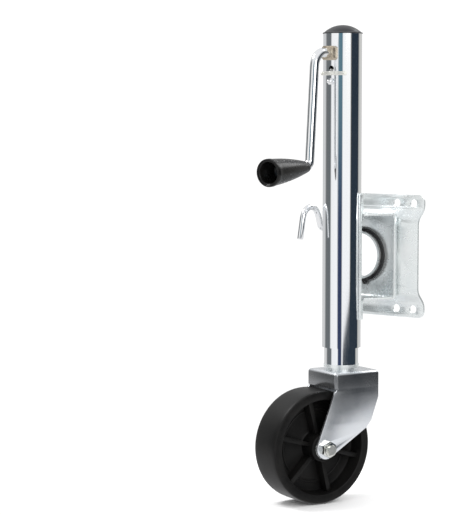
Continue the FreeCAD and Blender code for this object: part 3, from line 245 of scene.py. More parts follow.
link(tree, wedge_edge.outputs["Result"], wedge_share.inputs[0])
link(tree, wedge_close.outputs["Value"], wedge_share.inputs[1])
link(tree, wedge_share.outputs["Value"], with_wedge.inputs["Factor"])
link(tree, with_low.outputs["Result"], with_wedge.inputs["A"])
link(tree, height.outputs["Z"], below.inputs["Value"])
link(tree, with_wedge.outputs["Result"], with_below.inputs["A"])
link(tree, below.outputs["Result"], with_below.inputs["Factor"])
link(tree, with_below.outputs["Result"], with_ceiling.inputs["A"])
link(tree, ceiling.outputs["Result"], with_ceiling.inputs["Factor"])
link(tree, with_ceiling.outputs["Result"], mirror_light.inputs["Color"])
link(tree, ray.outputs["Is Glossy Ray"], choice.inputs["Fac"])
link(tree, plain_light.outputs["Background"], choice.inputs[1])
link(tree, mirror_light.outputs["Background"], choice.inputs[2])
link(tree, choice.outputs["Shader"], output.inputs["Surface"])
print("panels", len(PANELS))

# %% [markdown]
# The floor is a white disc that thins out to nothing a short way from the wheel, so there is no horizon and only
# the contact shadow shows. It is hidden from mirror rays, so that it doesn't wash out the panels. Three large soft
# lamps shape the jack: a strong one high on the left in front, a weak one on the right and one behind.

# %% Floor and lamps
FLOOR_RADIUS = 0.60
FLOOR_SOLID = 0.16
FLOOR_CLEAR = 0.42
FLOOR_WHITE = 0.92
LAMPS = [
    ("key_lamp", (-1.3, -0.7, 1.9), 0.7, 34.0),
    ("fill_lamp", (1.9, -0.9, 0.9), 1.0, 12.0),
    ("back_lamp", (0.4, 1.9, 1.5), 1.2, 18.0),
]

floor_height = cad_box[0][2]
bpy.ops.object.select_all(action="DESELECT")
bpy.ops.mesh.primitive_circle_add(vertices=64, radius=FLOOR_RADIUS, fill_type="NGON", location=(0, 0, 0))
floor = bpy.context.object
floor.name = "floor"
floor.location = (AXLE.x, AXLE.y, floor_height)
floor.visible_glossy = False
floor_paint = bpy.data.materials.new("floor_paper")
floor_paint.use_nodes = True
paper = floor_paint.node_tree.nodes["Principled BSDF"]
paper.inputs["Base Color"].default_value = (FLOOR_WHITE, FLOOR_WHITE, FLOOR_WHITE, 1)
paper.inputs["Roughness"].default_value = 0.9
paper.inputs["Specular IOR Level"].default_value = 0.0
floor_tree = floor_paint.node_tree
floor_place = add_node(floor_tree, "ShaderNodeTexCoord")
floor_distance = add_node(floor_tree, "ShaderNodeVectorMath", operation="LENGTH")
floor_fade = add_node(floor_tree, "ShaderNodeMapRange", interpolation_type="SMOOTHSTEP")
floor_fade.inputs["From Min"].default_value = FLOOR_SOLID
floor_fade.inputs["From Max"].default_value = FLOOR_CLEAR
floor_fade.inputs["To Min"].default_value = 1.0
floor_fade.inputs["To Max"].default_value = 0.0
link(floor_tree, floor_place.outputs["Object"], floor_distance.inputs[0])
link(floor_tree, floor_distance.outputs["Value"], floor_fade.inputs["Value"])
link(floor_tree, floor_fade.outputs["Result"], paper.inputs["Alpha"])
floor.data.materials.append(floor_paint)
for name, place, width, power in LAMPS:
    lamp_data = bpy.data.lights.new(name, "AREA")
    lamp_data.size = width
    lamp_data.energy = power
    lamp = bpy.data.objects.new(name, lamp_data)
    bpy.context.scene.collection.objects.link(lamp)
    lamp.location = place
    lamp.rotation_euler = (Vector((0, 0, 0)) - lamp.location).to_track_quat("-Z", "Y").to_euler()
print("floor at", round(floor_height, 4))

# %% [markdown]
# Every finish is a Principled shader whose colour and roughness wander a little. Noise on the object's own
# coordinates gives the wandering: a large, soft noise for cloudy plating or handling marks, and a fine one for
# grain. The same recipe with other numbers makes steel, brass, nylon and moulded plastic, so it is one function.

# %% A recipe for finishes
GRAIN_DETAIL = 2.0
CLOUD_DETAIL = 5.0
CLOUD_ROUGHNESS = 0.6
COAT_ROUGHNESS = 0.12


def finish(name, dark, light, rough, metal=0.0, cloud=40.0, grain=900.0, depth=0.02, stretch=(1, 1, 1), coat=0.0,
           gleam=0.5):
    """A material whose colour runs from dark to light and whose roughness runs between two values."""
    material = bpy.data.materials.new(name)
    material.use_nodes = True
    tree = material.node_tree
    shader = tree.nodes["Principled BSDF"]
    shader.inputs["Metallic"].default_value = metal
    shader.inputs["Coat Weight"].default_value = coat
    shader.inputs["Specular IOR Level"].default_value = gleam
    shader.inputs["Coat Roughness"].default_value = COAT_ROUGHNESS
    place = add_node(tree, "ShaderNodeTexCoord")
    scale = add_node(tree, "ShaderNodeMapping")
    scale.inputs["Scale"].default_value = stretch
    clouds = add_node(tree, "ShaderNodeTexNoise")
    clouds.inputs["Scale"].default_value = cloud
    clouds.inputs["Detail"].default_value = CLOUD_DETAIL
    clouds.inputs["Roughness"].default_value = CLOUD_ROUGHNESS
    fine = add_node(tree, "ShaderNodeTexNoise")
    fine.inputs["Scale"].default_value = grain
    fine.inputs["Detail"].default_value = GRAIN_DETAIL
    tint = add_node(tree, "ShaderNodeValToRGB")
    set_ramp(tint, [(0.32, dark), (0.68, light)])
    gloss = add_node(tree, "ShaderNodeMapRange")
    gloss.inputs["From Min"].default_value = 0.3
    gloss.inputs["From Max"].default_value = 0.7
    gloss.inputs["To Min"].default_value = rough[0]
    gloss.inputs["To Max"].default_value = rough[1]
    bump = add_node(tree, "ShaderNodeBump")
    bump.inputs["Strength"].default_value = 1.0
    bump.inputs["Distance"].default_value = depth * MM
    link(tree, place.outputs["Object"], scale.inputs["Vector"])
    link(tree, scale.outputs["Vector"], clouds.inputs["Vector"])
    link(tree, scale.outputs["Vector"], fine.inputs["Vector"])
    link(tree, clouds.outputs["Fac"], tint.inputs["Fac"])
    link(tree, clouds.outputs["Fac"], gloss.inputs["Value"])
    link(tree, fine.outputs["Fac"], bump.inputs["Height"])
    link(tree, tint.outputs["Color"], shader.inputs["Base Color"])
    link(tree, gloss.outputs["Result"], shader.inputs["Roughness"])
    link(tree, bump.outputs["Normal"], shader.inputs["Normal"])
    return material


# %% [markdown]
# The tube is polished and plated: nearly a mirror, with faint marks drawn out along its length. The pressed steel
# is plated too, but over a rolled surface, so it is milky, with a bluish bloom. The rods sit between the two.

# %% Plated steel
tube_plating = finish(
    "tube_plating", (0.86, 0.885, 0.915), (0.93, 0.935, 0.94), (0.045, 0.085),
    metal=1.0, cloud=30, grain=240, depth=0.0012, stretch=(1, 1, 0.06),
)
rod_plating = finish(
    "rod_plating", (0.80, 0.815, 0.83), (0.90, 0.90, 0.90), (0.08, 0.16),
    metal=1.0, cloud=60, grain=500, depth=0.003,
)
sheet_plating = finish(
    "sheet_plating", (0.72, 0.76, 0.765), (0.83, 0.855, 0.850), (0.22, 0.34),
    metal=0.72, cloud=30, grain=900, depth=0.003,
)
# The fork's plating colour also carries a painted reflection and a painted top light, added in the fork shading
# cell.
fork_plating_and_painted_reflection = finish(
    "fork_plating_and_painted_reflection", (0.72, 0.75, 0.79), (0.84, 0.86, 0.88), (0.20, 0.30),
    metal=0.9, cloud=26, grain=900, depth=0.003,
)
bolt_plating = finish(
    "bolt_plating", (0.66, 0.67, 0.64), (0.82, 0.82, 0.78), (0.12, 0.24),
    metal=1.0, cloud=120, grain=1500, depth=0.004,
)

# %% [markdown]
# The fork is brushed rather than polished, and it mirrors the dark tube above it near its top and the white floor
# near its foot. That reflection is painted into its colour, which runs from dark to light down its height. Faces
# that look up keep their full colour, a painted top light.

# %% Fork shading, painted into its colour as a reflection and a top light
# Painted reflection: the fork's colour is darkened near its top and kept light towards its foot.
FORK_PAINTED_REFLECTION_TOP = -0.158
FORK_PAINTED_REFLECTION_FOOT = -0.228
FORK_PAINTED_REFLECTION_DARK_SHARE = 0.27

fork_tree = fork_plating_and_painted_reflection.node_tree
fork_shader = fork_tree.nodes["Principled BSDF"]
fork_tint = fork_shader.inputs["Base Color"].links[0].from_socket
fork_place = add_node(fork_tree, "ShaderNodeTexCoord")
fork_split = add_node(fork_tree, "ShaderNodeSeparateXYZ")
fork_painted_reflection = add_node(fork_tree, "ShaderNodeMapRange", interpolation_type="SMOOTHSTEP")
fork_painted_reflection.inputs["From Min"].default_value = FORK_PAINTED_REFLECTION_TOP
fork_painted_reflection.inputs["From Max"].default_value = FORK_PAINTED_REFLECTION_FOOT
fork_painted_reflection.inputs["To Min"].default_value = FORK_PAINTED_REFLECTION_DARK_SHARE
fork_painted_reflection.inputs["To Max"].default_value = 1.0
# Painted top light: faces that look up keep their full, light colour whatever their height.
fork_top_light_facing = add_node(fork_tree, "ShaderNodeSeparateXYZ")
fork_painted_top_light = add_node(fork_tree, "ShaderNodeMath", operation="MAXIMUM")
fork_painted_shading = add_node(fork_tree, "ShaderNodeVectorMath", operation="SCALE")
link(fork_tree, fork_place.outputs["Object"], fork_split.inputs["Vector"])
link(fork_tree, fork_split.outputs["Z"], fork_painted_reflection.inputs["Value"])
link(fork_tree, fork_tint, fork_painted_shading.inputs[0])
link(fork_tree, fork_place.outputs["Normal"], fork_top_light_facing.inputs["Vector"])
link(fork_tree, fork_painted_reflection.outputs["Result"], fork_painted_top_light.inputs[0])
link(fork_tree, fork_top_light_facing.outputs["Z"], fork_painted_top_light.inputs[1])
link(fork_tree, fork_painted_top_light.outputs["Value"], fork_painted_shading.inputs["Scale"])
link(fork_tree, fork_painted_shading.outputs["Vector"], fork_shader.inputs["Base Color"])

# %% [markdown]
# The inside pieces are seen through the odd hole and in the exploded part: greased machined steel, yellow bronze
# and spring wire. The plastics are black, and what tells them apart is gloss: the grip shines, the cap is satin
# and the wheel is dull with a fine moulded grain.

# %% Bronze, machined steel and plastics
bush_bronze = finish(
    "bush_bronze", (0.44, 0.37, 0.28), (0.62, 0.55, 0.44), (0.28, 0.44),
    metal=0.85, cloud=150, grain=1800, depth=0.01,
)
machined_steel = finish(
    "machined_steel", (0.40, 0.39, 0.37), (0.58, 0.58, 0.57), (0.24, 0.40),
    metal=1.0, cloud=90, grain=1200, depth=0.006,
)
strap_plating = finish(
    "strap_plating", (0.66, 0.66, 0.62), (0.80, 0.80, 0.75), (0.26, 0.38),
    metal=0.6, cloud=90, grain=1500, depth=0.006,
)
spring_wire = finish(
    "spring_wire", (0.42, 0.42, 0.43), (0.56, 0.56, 0.57), (0.22, 0.34),
    metal=1.0, cloud=200, grain=1500, depth=0.003,
)
ring_oxide = finish(
    "ring_oxide", (0.012, 0.012, 0.013), (0.035, 0.034, 0.034), (0.34, 0.52),
    metal=0.5, cloud=120, grain=1500, depth=0.008,
)
washer_nylon = finish(
    "washer_nylon", (0.020, 0.020, 0.021), (0.035, 0.035, 0.036), (0.45, 0.60),
    cloud=60, grain=1300, depth=0.010,
)
cap_plastic = finish(
    "cap_plastic", (0.014, 0.015, 0.017), (0.024, 0.025, 0.027), (0.30, 0.42),
    cloud=55, grain=2300, depth=0.010, gleam=0.35,
)
grip_plastic = finish(
    "grip_plastic", (0.004, 0.004, 0.004), (0.008, 0.0075, 0.007), (0.24, 0.32),
    cloud=50, grain=900, depth=0.0015, gleam=0.22,
)
wheel_plastic = finish(
    "wheel_plastic", (0.0045, 0.0045, 0.0045), (0.009, 0.0085, 0.008), (0.34, 0.46),
    cloud=38, grain=1900, depth=0.020, gleam=0.16,
)

# %% [markdown]
# A mechanical piece whose shape is already right only needs its finish. This list gives each one its own.

# %% Finishes for the ready-made pieces
DRESS = {
    tube_plating: ["outer_tube", "inner_tube"],
    rod_plating: ["crank_rod", "lock_pin", "grease_nipple", "pin_collar", "grip_clip"],
    strap_plating: ["guard_strap", "strap_rivets"],
    sheet_plating: ["mount_plate", "pivot_spindle", "saddle", "pin_housing", "swivel_washer", "bottom_plug"],
    fork_plating_and_painted_reflection: ["caster_fork"],
    bolt_plating: ["axle_bolt", "axle_nut", "axle_washers", "axle_sleeve"],
    bush_bronze: ["crank_bush", "rear_bush", "lift_nut"],
    machined_steel: [
        "crank_pinion", "screw_gear", "lift_screw", "support_plate", "kingpin", "upper_race", "lower_race",
        "bearing_balls",
    ],
    spring_wire: ["pin_spring"],
    ring_oxide: ["pivot_retaining_ring"],
    washer_nylon: ["pivot_washer"],
    cap_plastic: ["top_cap"],
    grip_plastic: ["crank_grip"],
    wheel_plastic: ["wheel"],
}
for material, names in DRESS.items():
    for name in names:
        nodes[name].data.materials.clear()
        nodes[name].data.materials.append(material)
print("dressed", sum(len(names) for names in DRESS.values()))

# %% [markdown]
# The rest of the notebook models pieces by hand. A few habits keep that safe: everything is deselected before a
# new shape is added, edges are picked by where they are, and a finished piece keeps its place in its mesh, with
# its object at the origin.

# %% Hands and habits
SMOOTH_ANGLE = math.radians(32)


def clear_selection():
    """Object mode with nothing selected."""
    if bpy.context.mode != "OBJECT":
        bpy.ops.object.mode_set(mode="OBJECT")
    bpy.ops.object.select_all(action="DESELECT")


def pick(piece):
    """Make one piece the selected and active one."""
    clear_selection()
    piece.select_set(True)
    bpy.context.view_layer.objects.active = piece


def edit(piece, kind="VERT"):
    """Go into edit mode on a piece, picking vertices, edges or faces."""
    pick(piece)
    bpy.ops.object.mode_set(mode="EDIT")
    bpy.ops.mesh.select_mode(type=kind)


def choose(piece, test, kind="VERT"):
    """Select the vertices, edges or faces whose points all pass a test."""
    bpy.ops.mesh.select_mode(type=kind)
    bpy.ops.mesh.select_all(action="DESELECT")
    mesh = bmesh.from_edit_mesh(piece.data)
    items = {"VERT": mesh.verts, "EDGE": mesh.edges, "FACE": mesh.faces}[kind]
    for item in items:
        points = [item.co] if kind == "VERT" else [vertex.co for vertex in item.verts]
        if all(test(point) for point in points):
            item.select_set(True)
    bmesh.update_edit_mesh(piece.data)


def near(value, target, slack=2e-5):
    """Whether two lengths are the same to a hair."""
    return abs(value - target) < slack


def extrude(move):
    """Extrude what is selected along a vector."""
    bpy.ops.mesh.extrude_region_move(TRANSFORM_OT_translate={"value": tuple(move)})


def settle(piece, place, way=None, spin=0.0):
    """Turn a piece's own Z to a direction, move it to its place, and write both into its mesh."""
    turn = Matrix.Rotation(spin, 4, "Z")
    if way is not None:
        turn = Vector(way).to_track_quat("Z", "Y").to_matrix().to_4x4() @ turn
    pick(piece)
    piece.matrix_world = Matrix.Translation(place) @ turn
    bpy.ops.object.transform_apply(location=True, rotation=True, scale=True)


def apply_modifier(piece, kind, name, **settings):
    """Add a modifier with its settings and apply it."""
    pick(piece)
    modifier = piece.modifiers.new(name, kind)
    for key, value in settings.items():
        setattr(modifier, key, value)
    bpy.ops.object.modifier_apply(modifier=modifier.name)


def soften_edges(piece, width, segments=2, angle=35):
    """Round every sharp edge a little, so that it catches the light."""
    apply_modifier(
        piece, "BEVEL", "soft_edges", width=width, segments=segments, limit_method="ANGLE",
        angle_limit=math.radians(angle), use_clamp_overlap=True,
    )


def hand_over(piece, body, material, slot, *replaced):
    """Give a finished piece its shading, finish and body, and hide the nodes that it stands for. The slot is not
    used.
    """
    pick(piece)
    bpy.ops.object.shade_smooth_by_angle(angle=SMOOTH_ANGLE)
    piece.data.materials.clear()
    piece.data.materials.append(material)
    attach(piece, body)
    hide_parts(*replaced)
    print(piece.name, len(piece.data.polygons), "faces")


# %% [markdown]
# A turned piece is drawn as half a section and spun round, as on a lathe. By hand that is a circle, extruded and
# resized ring after ring along the section. Where the section ends on the axis, the last ring shrinks to a point.

# %% The lathe
POINT = 1e-5


def arc(centre, radius, start, end, steps=6):
    """Points of a round stretch of a section, from one angle to another in degrees."""
    points = []
    for step in range(steps + 1):
        angle = math.radians(start + (end - start) * step / steps)
        points.append((centre[0] + radius * math.cos(angle), centre[1] + radius * math.sin(angle)))
    return points


def turned(name, section, sides=96):
    """Turn a closed section of (radius, height) pairs, in millimetres, about Z."""
    rings = [(max(radius * MM, POINT), height * MM) for radius, height in section]
    clear_selection()
    bpy.ops.mesh.primitive_circle_add(vertices=sides, radius=rings[0][0], location=(0, 0, rings[0][1]))
    piece = bpy.context.object
    piece.name = name
    bpy.ops.object.transform_apply(location=True, rotation=True, scale=True)
    edit(piece)
    bpy.ops.mesh.select_all(action="SELECT")
    for (radius, height), (next_radius, next_height) in zip(rings, rings[1:]):
        extrude((0, 0, next_height - height))
        share = next_radius / radius
        bpy.ops.transform.resize(value=(share, share, 1), center_override=(0, 0, next_height))
    bpy.ops.mesh.select_all(action="SELECT")
    bpy.ops.mesh.remove_doubles(threshold=POINT * 1.5)
    bpy.ops.mesh.select_all(action="DESELECT")
    bpy.ops.mesh.select_mode(type="EDGE")
    bpy.ops.mesh.select_non_manifold()
    mesh = bmesh.from_edit_mesh(piece.data)
    if any(edge.select for edge in mesh.edges):
        bpy.ops.mesh.bridge_edge_loops()
    bpy.ops.mesh.select_all(action="SELECT")
    bpy.ops.mesh.normals_make_consistent(inside=False)
    clear_selection()
    return piece


# %% [markdown]
# The cap is one moulding: a low dome that drops to a thin brim, and a skirt that plugs the tube. The real one has
# a soft edge where the dome meets the brim, which a short round stretch of the section gives.

# %% Cap
DOME_RISE = 11.4
DOME_FOOT = 24.2
dome_radius = (DOME_FOOT**2 + (DOME_RISE - 2.0) ** 2) / (2 * (DOME_RISE - 2.0))
dome_angle = math.degrees(math.asin(DOME_FOOT / dome_radius))
dome = arc((0, DOME_RISE - dome_radius), dome_radius, 90, 90 - dome_angle, 16)
brim = [(25.2, 1.7), (25.9, 1.3), (26.1, 0.8), (26.05, 0.25), (25.8, 0.02)]
skirt = [(22.75, 0.0), (22.75, -7.4), (22.3, -8.0), (20.9, -8.0), (20.75, -0.5), (17.0, 4.2), (9.0, 8.0), (0, 9.4)]
cap = turned("domed_cap", dome + brim + skirt, 128)
settle(cap, (SHAFT.x, SHAFT.y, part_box("outer_tube")[1].z))
hand_over(cap, "jack", cap_plastic, "black_cap", "top_cap")

# %% [markdown]
# The grip is a long hollow cone with a slight belly. Its open end has a bead outside and a stepped lip inside,
# and the rod comes out of its narrow end. The step in the lip is what draws the thin bright ring round the mouth.

# %% Grip
GRIP_START = 5.7
GRIP_END = 88.5
GRIP_NECK = 7.2
GRIP_BEAD = 17.8
GRIP_FLARE = 17.15
FLANK_FOOT = 7.4
FLANK_TOP = 80.2
BELLY = 1.7

flank = []
FLANK_STEPS = 14
for step in range(FLANK_STEPS + 1):
    share = step / FLANK_STEPS
    height = FLANK_FOOT + (FLANK_TOP - FLANK_FOOT) * share
    radius = GRIP_NECK + (GRIP_FLARE - GRIP_NECK) * share + BELLY * 4 * share * (1 - share)
    flank.append((min(radius, GRIP_FLARE + 0.25 * share), height))
mouth_bead = [(17.3, 81.0), (17.72, 82.0), (GRIP_BEAD, 83.4), (GRIP_BEAD, 85.6), (17.65, 87.2), (17.1, 88.2)]
lip = [(16.5, GRIP_END), (15.7, GRIP_END), (15.35, 88.2), (15.2, 87.2), (14.4, 86.9), (13.7, 86.0), (13.35, 84.0)]
cup = [(13.0, 74.0), (12.2, 64.0), (10.8, 60.2), (8.6, 58.6), (4.6, 58.5)]
foot = [(4.6, GRIP_START), (6.3, GRIP_START), (6.9, 6.1)]
grip = turned("hollow_grip", foot + flank + mouth_bead + lip + cup, 96)
settle(grip, GRIP, GRIP_WAY)
hand_over(grip, "grip", grip_plastic, "black_grip", "crank_grip")

# %% [markdown]
# The crank and the pull pin are bent from round bar. A ring is extruded along each straight run and spun round
# each bend, so the bar keeps its thickness all the way, as a real one nearly does.

# %% Bent bars


def bent_bar(name, radius, corners, bends, sides=40, bend_steps=12):
    """Sweep a ring through corners in millimetres, with a bend radius at each inner corner."""
    points = [Vector(corner) * MM for corner in corners]
    way = (points[1] - points[0]).normalized()
    clear_selection()
    bpy.ops.mesh.primitive_circle_add(
        vertices=sides, radius=radius * MM, location=points[0], rotation=way.to_track_quat("Z", "Y").to_euler()
    )
    bar = bpy.context.object
    bar.name = name
    bpy.ops.object.transform_apply(location=True, rotation=True, scale=True)
    edit(bar)
    bpy.ops.mesh.select_all(action="SELECT")
    here = points[0]
    for corner, bend, after in zip(points[1:], bends, points[2:]):
        way = (corner - here).normalized()
        ahead = (after - corner).normalized()
        turn = way.angle(ahead)
        reach = bend * MM * math.tan(turn / 2)
        enter = corner - way * reach
        extrude(enter - here)
        axis = way.cross(ahead).normalized()
        centre = enter + axis.cross(way) * bend * MM
        bpy.ops.mesh.spin(steps=bend_steps, angle=-turn, center=centre, axis=axis)
        here = corner + ahead * reach
    extrude(points[-1] - here)
    return bar


def step_down(centre, share, move):
    """Shrink the selected end ring about its centre and carry it on."""
    extrude((0, 0, 0))
    bpy.ops.transform.resize(value=(share, share, share), center_override=tuple(centre))
    extrude(move)


def close_ends(bar, round_off):
    """Fill the two open ends of a bar and chamfer them."""
    bpy.ops.mesh.select_all(action="DESELECT")
    bpy.ops.mesh.select_mode(type="EDGE")
    bpy.ops.mesh.select_non_manifold()
    bpy.ops.mesh.edge_face_add()
    mesh = bmesh.from_edit_mesh(bar.data)
    bpy.ops.mesh.select_mode(type="FACE")
    bpy.ops.mesh.select_all(action="DESELECT")
    for face in mesh.faces:
        face.select_set(len(face.verts) > 4)
    bmesh.update_edit_mesh(bar.data)
    bpy.ops.mesh.region_to_loop()
    bpy.ops.mesh.bevel(offset=round_off * MM, segments=2)
    bpy.ops.mesh.select_all(action="SELECT")
    bpy.ops.mesh.normals_make_consistent(inside=False)
    clear_selection()


# %% [markdown]
# The crank's shaft goes through the bush to the gear inside. Outside it bends down into the arm, and the arm's
# lower end bends out again and is turned down to the thin pin that the grip spins on.

# %% Crank
ROD_RADIUS = 6.0
SHAFT_END = (0, -8.0, 0)
ARM_TOP = (0, -61.2, 0)
ARM_FOOT = (0, -73.0, -145.5)
NECK = 5.0
PIN_LENGTH = 60.0
JOURNAL_LENGTH = 32.4
PIN_SHARE = 0.745
JOURNAL_SHARE = 0.66
CRANK_BENDS = [19.0, 9.5]

neck_end = Vector(ARM_FOOT) + Vector(GRIP_WAY) * NECK
crank = bent_bar("bent_crank", ROD_RADIUS, [SHAFT_END, ARM_TOP, ARM_FOOT, neck_end], CRANK_BENDS)
step_down(neck_end * MM, PIN_SHARE, Vector(GRIP_WAY) * PIN_LENGTH * MM)
choose(crank, lambda point: near(point.y, SHAFT_END[1] * MM))
step_down(Vector(SHAFT_END) * MM, JOURNAL_SHARE, (0, JOURNAL_LENGTH * MM, 0))
close_ends(crank, 0.5)
settle(crank, SHAFT)
hand_over(crank, "crank", rod_plating, "plated_rod", "crank_rod")

# %% [markdown]
# The pull pin ends in a hook for one finger: up, over in an arch, and down on the far side.

# %% Pull pin
PIN_SIDE = -33.0
PIN_HEIGHT = 36.0
PULL_PIN_RADIUS = 4.0
HOOK_ROUTE = [(51.0, 0), (-1.0, 0), (-11.5, 29.0), (-38.7, 29.0), (-47.5, -12.0)]
HOOK_BENDS = [8.0, 17.6, 17.6]

hook_corners = [(0, along, up) for along, up in HOOK_ROUTE]
hook = bent_bar("hooked_pull_pin", PULL_PIN_RADIUS, hook_corners, HOOK_BENDS, 32, 10)
close_ends(hook, 0.7)
settle(hook, (SHAFT.x + PIN_SIDE * MM, SHAFT.y, PIN_HEIGHT * MM))
hand_over(hook, "lock_pin", rod_plating, "plated_rod", "lock_pin")

# %% [markdown]
# The wheel is one moulding: a tread with a slight crown, a deep rim, a thin web with a raised ring on each face,
# a long hub, and six ribs that taper towards it. The round parts come off the lathe; a rib is a block that is
# tapered, bevelled and copied round.

# %% Wheel
RIBS = 6
RIB_TURN = math.radians(14)
RIB_INNER = 16.5
RIB_OUTER = 61.5
RIB_HALF_WIDTH = 18.3
RIB_THICK = 5.0
RIB_TAPER = 1.28
RIB_ROUND = 0.7

hub_side = [(9.1, 26.6), (9.9, 27.5), (16.9, 27.5), (17.8, 26.8), (18.3, 8.0), (19.4, 4.6), (22.0, 3.5)]
web_side = [(45.6, 3.5), (46.0, 4.6), (46.6, 4.9), (48.2, 4.9), (48.8, 4.6), (49.2, 3.5), (56.0, 3.5), (59.6, 4.6)]
rim_side = [(60.9, 8.0), (62.0, 22.6), (62.6, 24.1), (63.4, 24.5), (71.6, 24.5), (72.7, 24.2), (73.8, 22.9)]
tread_side = [(74.1, 21.6), (74.35, 16.0), (74.5, 8.0)]
half_section = hub_side + web_side + rim_side + tread_side
other_half = [(radius, -height) for radius, height in reversed(half_section)]
wheel = turned("ribbed_wheel", half_section + [(74.55, 0.0)] + other_half, 160)


def make_rib():
    """One rib through both faces of the web, thicker towards the rim."""
    clear_selection()
    length = RIB_OUTER - RIB_INNER
    bpy.ops.mesh.primitive_cube_add(
        size=MM, location=((RIB_INNER + RIB_OUTER) / 2 * MM, 0, 0), scale=(length, RIB_THICK, RIB_HALF_WIDTH * 2)
    )
    rib = bpy.context.object
    rib.name = "rib"
    bpy.ops.object.transform_apply(location=True, rotation=True, scale=True)
    edit(rib)
    choose(rib, lambda point: near(point.x, RIB_OUTER * MM))
    bpy.ops.transform.resize(value=(1, RIB_TAPER, 1), center_override=(RIB_OUTER * MM, 0, 0))
    choose(rib, lambda point: near(abs(point.z), RIB_HALF_WIDTH * MM), "EDGE")
    bpy.ops.mesh.bevel(offset=RIB_ROUND * MM, segments=2)
    clear_selection()
    return rib


ribs = [make_rib()]
while len(ribs) < RIBS:
    rib = ribs[0].copy()
    rib.data = ribs[0].data.copy()
    bpy.context.scene.collection.objects.link(rib)
    settle(rib, (0, 0, 0), None, 2 * math.pi * len(ribs) / RIBS)
    ribs.append(rib)
pick(wheel)
for rib in ribs:
    rib.select_set(True)
bpy.ops.object.join()
wheel_turn = Matrix.Rotation(math.atan2(AXLE_WAY.y, AXLE_WAY.x), 4, "Z") @ Matrix.Rotation(math.pi / 2, 4, "Y")
wheel.matrix_world = Matrix.Translation(AXLE) @ wheel_turn @ Matrix.Rotation(RIB_TURN, 4, "Z")
bpy.ops.object.transform_apply(location=True, rotation=True, scale=True)
hand_over(wheel, "wheel", wheel_plastic, "wheel_black", "wheel")

# %% [markdown]
# Pressed steel starts flat. The mounting plate is a strip: two flat ears that meet the trailer's rail, and a
# middle that steps forward. The strip's edge is extruded through the steps, the folds are bevelled into bends,
# and Solidify gives the sheet its thickness before the holes are punched.

# %% Sheet metal


def punch(piece, holes):
    """Cut round holes through a piece: each hole is a point, a direction, a radius and a length, in metres."""
    for place, way, radius, length in holes:
        clear_selection()
        turn = Vector(way).to_track_quat("Z", "Y").to_euler()
        bpy.ops.mesh.primitive_cylinder_add(vertices=64, radius=radius, depth=length, location=place, rotation=turn)
        punch_tool = bpy.context.object
        apply_modifier(piece, "BOOLEAN", "hole", operation="DIFFERENCE", solver="EXACT", object=punch_tool)
        bpy.data.objects.remove(punch_tool)


def fold_edges(piece, test, radius, segments=5):
    """Round the folds whose points pass a test."""
    choose(piece, test, "EDGE")
    bpy.ops.mesh.bevel(offset=radius * MM, segments=segments)


def sheet(name, size_x, size_y, place, rotation):
    """A flat rectangle to extrude from, in metres, with its place in its mesh."""
    clear_selection()
    bpy.ops.mesh.primitive_plane_add(size=1, location=place, rotation=rotation)
    piece = bpy.context.object
    piece.name = name
    piece.scale = (size_x, size_y, 1)
    bpy.ops.object.transform_apply(location=True, rotation=True, scale=True)
    return piece


# %% Mounting plate
EDGE_ROUND = 0.45
PLATE_BEND = 5.0
BOLT_HOLE_RADIUS = 5.5
LOCK_HOLE_RADIUS = 4.5
PANEL_DEPTH = -10.0
PUNCH_LENGTH = 30.0
EAR = 19.0
STEP_HEIGHT = 15.0
STEP_DEPTH = 9.0
PANEL_NARROWER = 8.0
CORNER = 9.0
SHEET = 3.0
BOLT_ROWS = (-70.0, 70.0)
BOLT_COLUMNS = (-58.0, -32.0, 32.0, 58.0)
LOCK_SPOTS = [(-33, 36), (36, 33), (33, -36), (-36, -33)]
SPINDLE_RADIUS = 32.0

plate_low, plate_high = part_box("mount_plate")
plate_width = plate_high.x - plate_low.x
plate_top = plate_high.z
panel_share = (plate_width - PANEL_NARROWER * MM) / plate_width
ear_centre = (0, 0, plate_top - EAR / 2 * MM)
plate = sheet("pressed_mounting_plate", plate_width, EAR * MM, ear_centre, (math.pi / 2, 0, 0))
edit(plate)
choose(plate, lambda point: near(point.z, plate_top - EAR * MM), "EDGE")
extrude((0, -STEP_DEPTH * MM, -STEP_HEIGHT * MM))
bpy.ops.transform.resize(value=(panel_share, 1, 1), center_override=(0, 0, 0))
panel_top = plate_top - (EAR + STEP_HEIGHT) * MM
extrude((0, 0, -2 * panel_top))
extrude((0, STEP_DEPTH * MM, -STEP_HEIGHT * MM))
bpy.ops.transform.resize(value=(1 / panel_share, 1, 1), center_override=(0, 0, 0))
extrude((0, 0, -EAR * MM))
for fold in (plate_top - EAR * MM, panel_top):
    fold_edges(plate, lambda point: near(abs(point.z), fold), PLATE_BEND)
bpy.ops.mesh.select_all(action="SELECT")
bpy.ops.mesh.normals_make_consistent(inside=False)
clear_selection()
front_first = plate.data.polygons[0].normal.y
apply_modifier(plate, "SOLIDIFY", "thickness", thickness=SHEET * MM, offset=-1.0 if front_first > 0 else 1.0)
edit(plate)
for corner_x in (plate_low.x, plate_high.x):
    for corner_z in (plate_low.z, plate_high.z):
        choose(plate, lambda point: near(point.x, corner_x) and near(point.z, corner_z), "EDGE")
        bpy.ops.mesh.bevel(offset=CORNER * MM, segments=8)
clear_selection()
back = Vector((0, 1, 0))
through = PUNCH_LENGTH * MM
panel_y = PANEL_DEPTH * MM
bolt_spots = [(x * MM, 0, z * MM) for x in BOLT_COLUMNS for z in BOLT_ROWS]
lock_spots = [(SHAFT.x + x * MM, panel_y, z * MM) for x, z in LOCK_SPOTS]
bolt_holes = [(spot, back, BOLT_HOLE_RADIUS * MM, through) for spot in bolt_spots]
lock_holes = [(spot, back, LOCK_HOLE_RADIUS * MM, through) for spot in lock_spots]
pivot_hole = [((SHAFT.x, panel_y, 0), back, SPINDLE_RADIUS * MM, through)]
punch(plate, bolt_holes + lock_holes + pivot_hole)
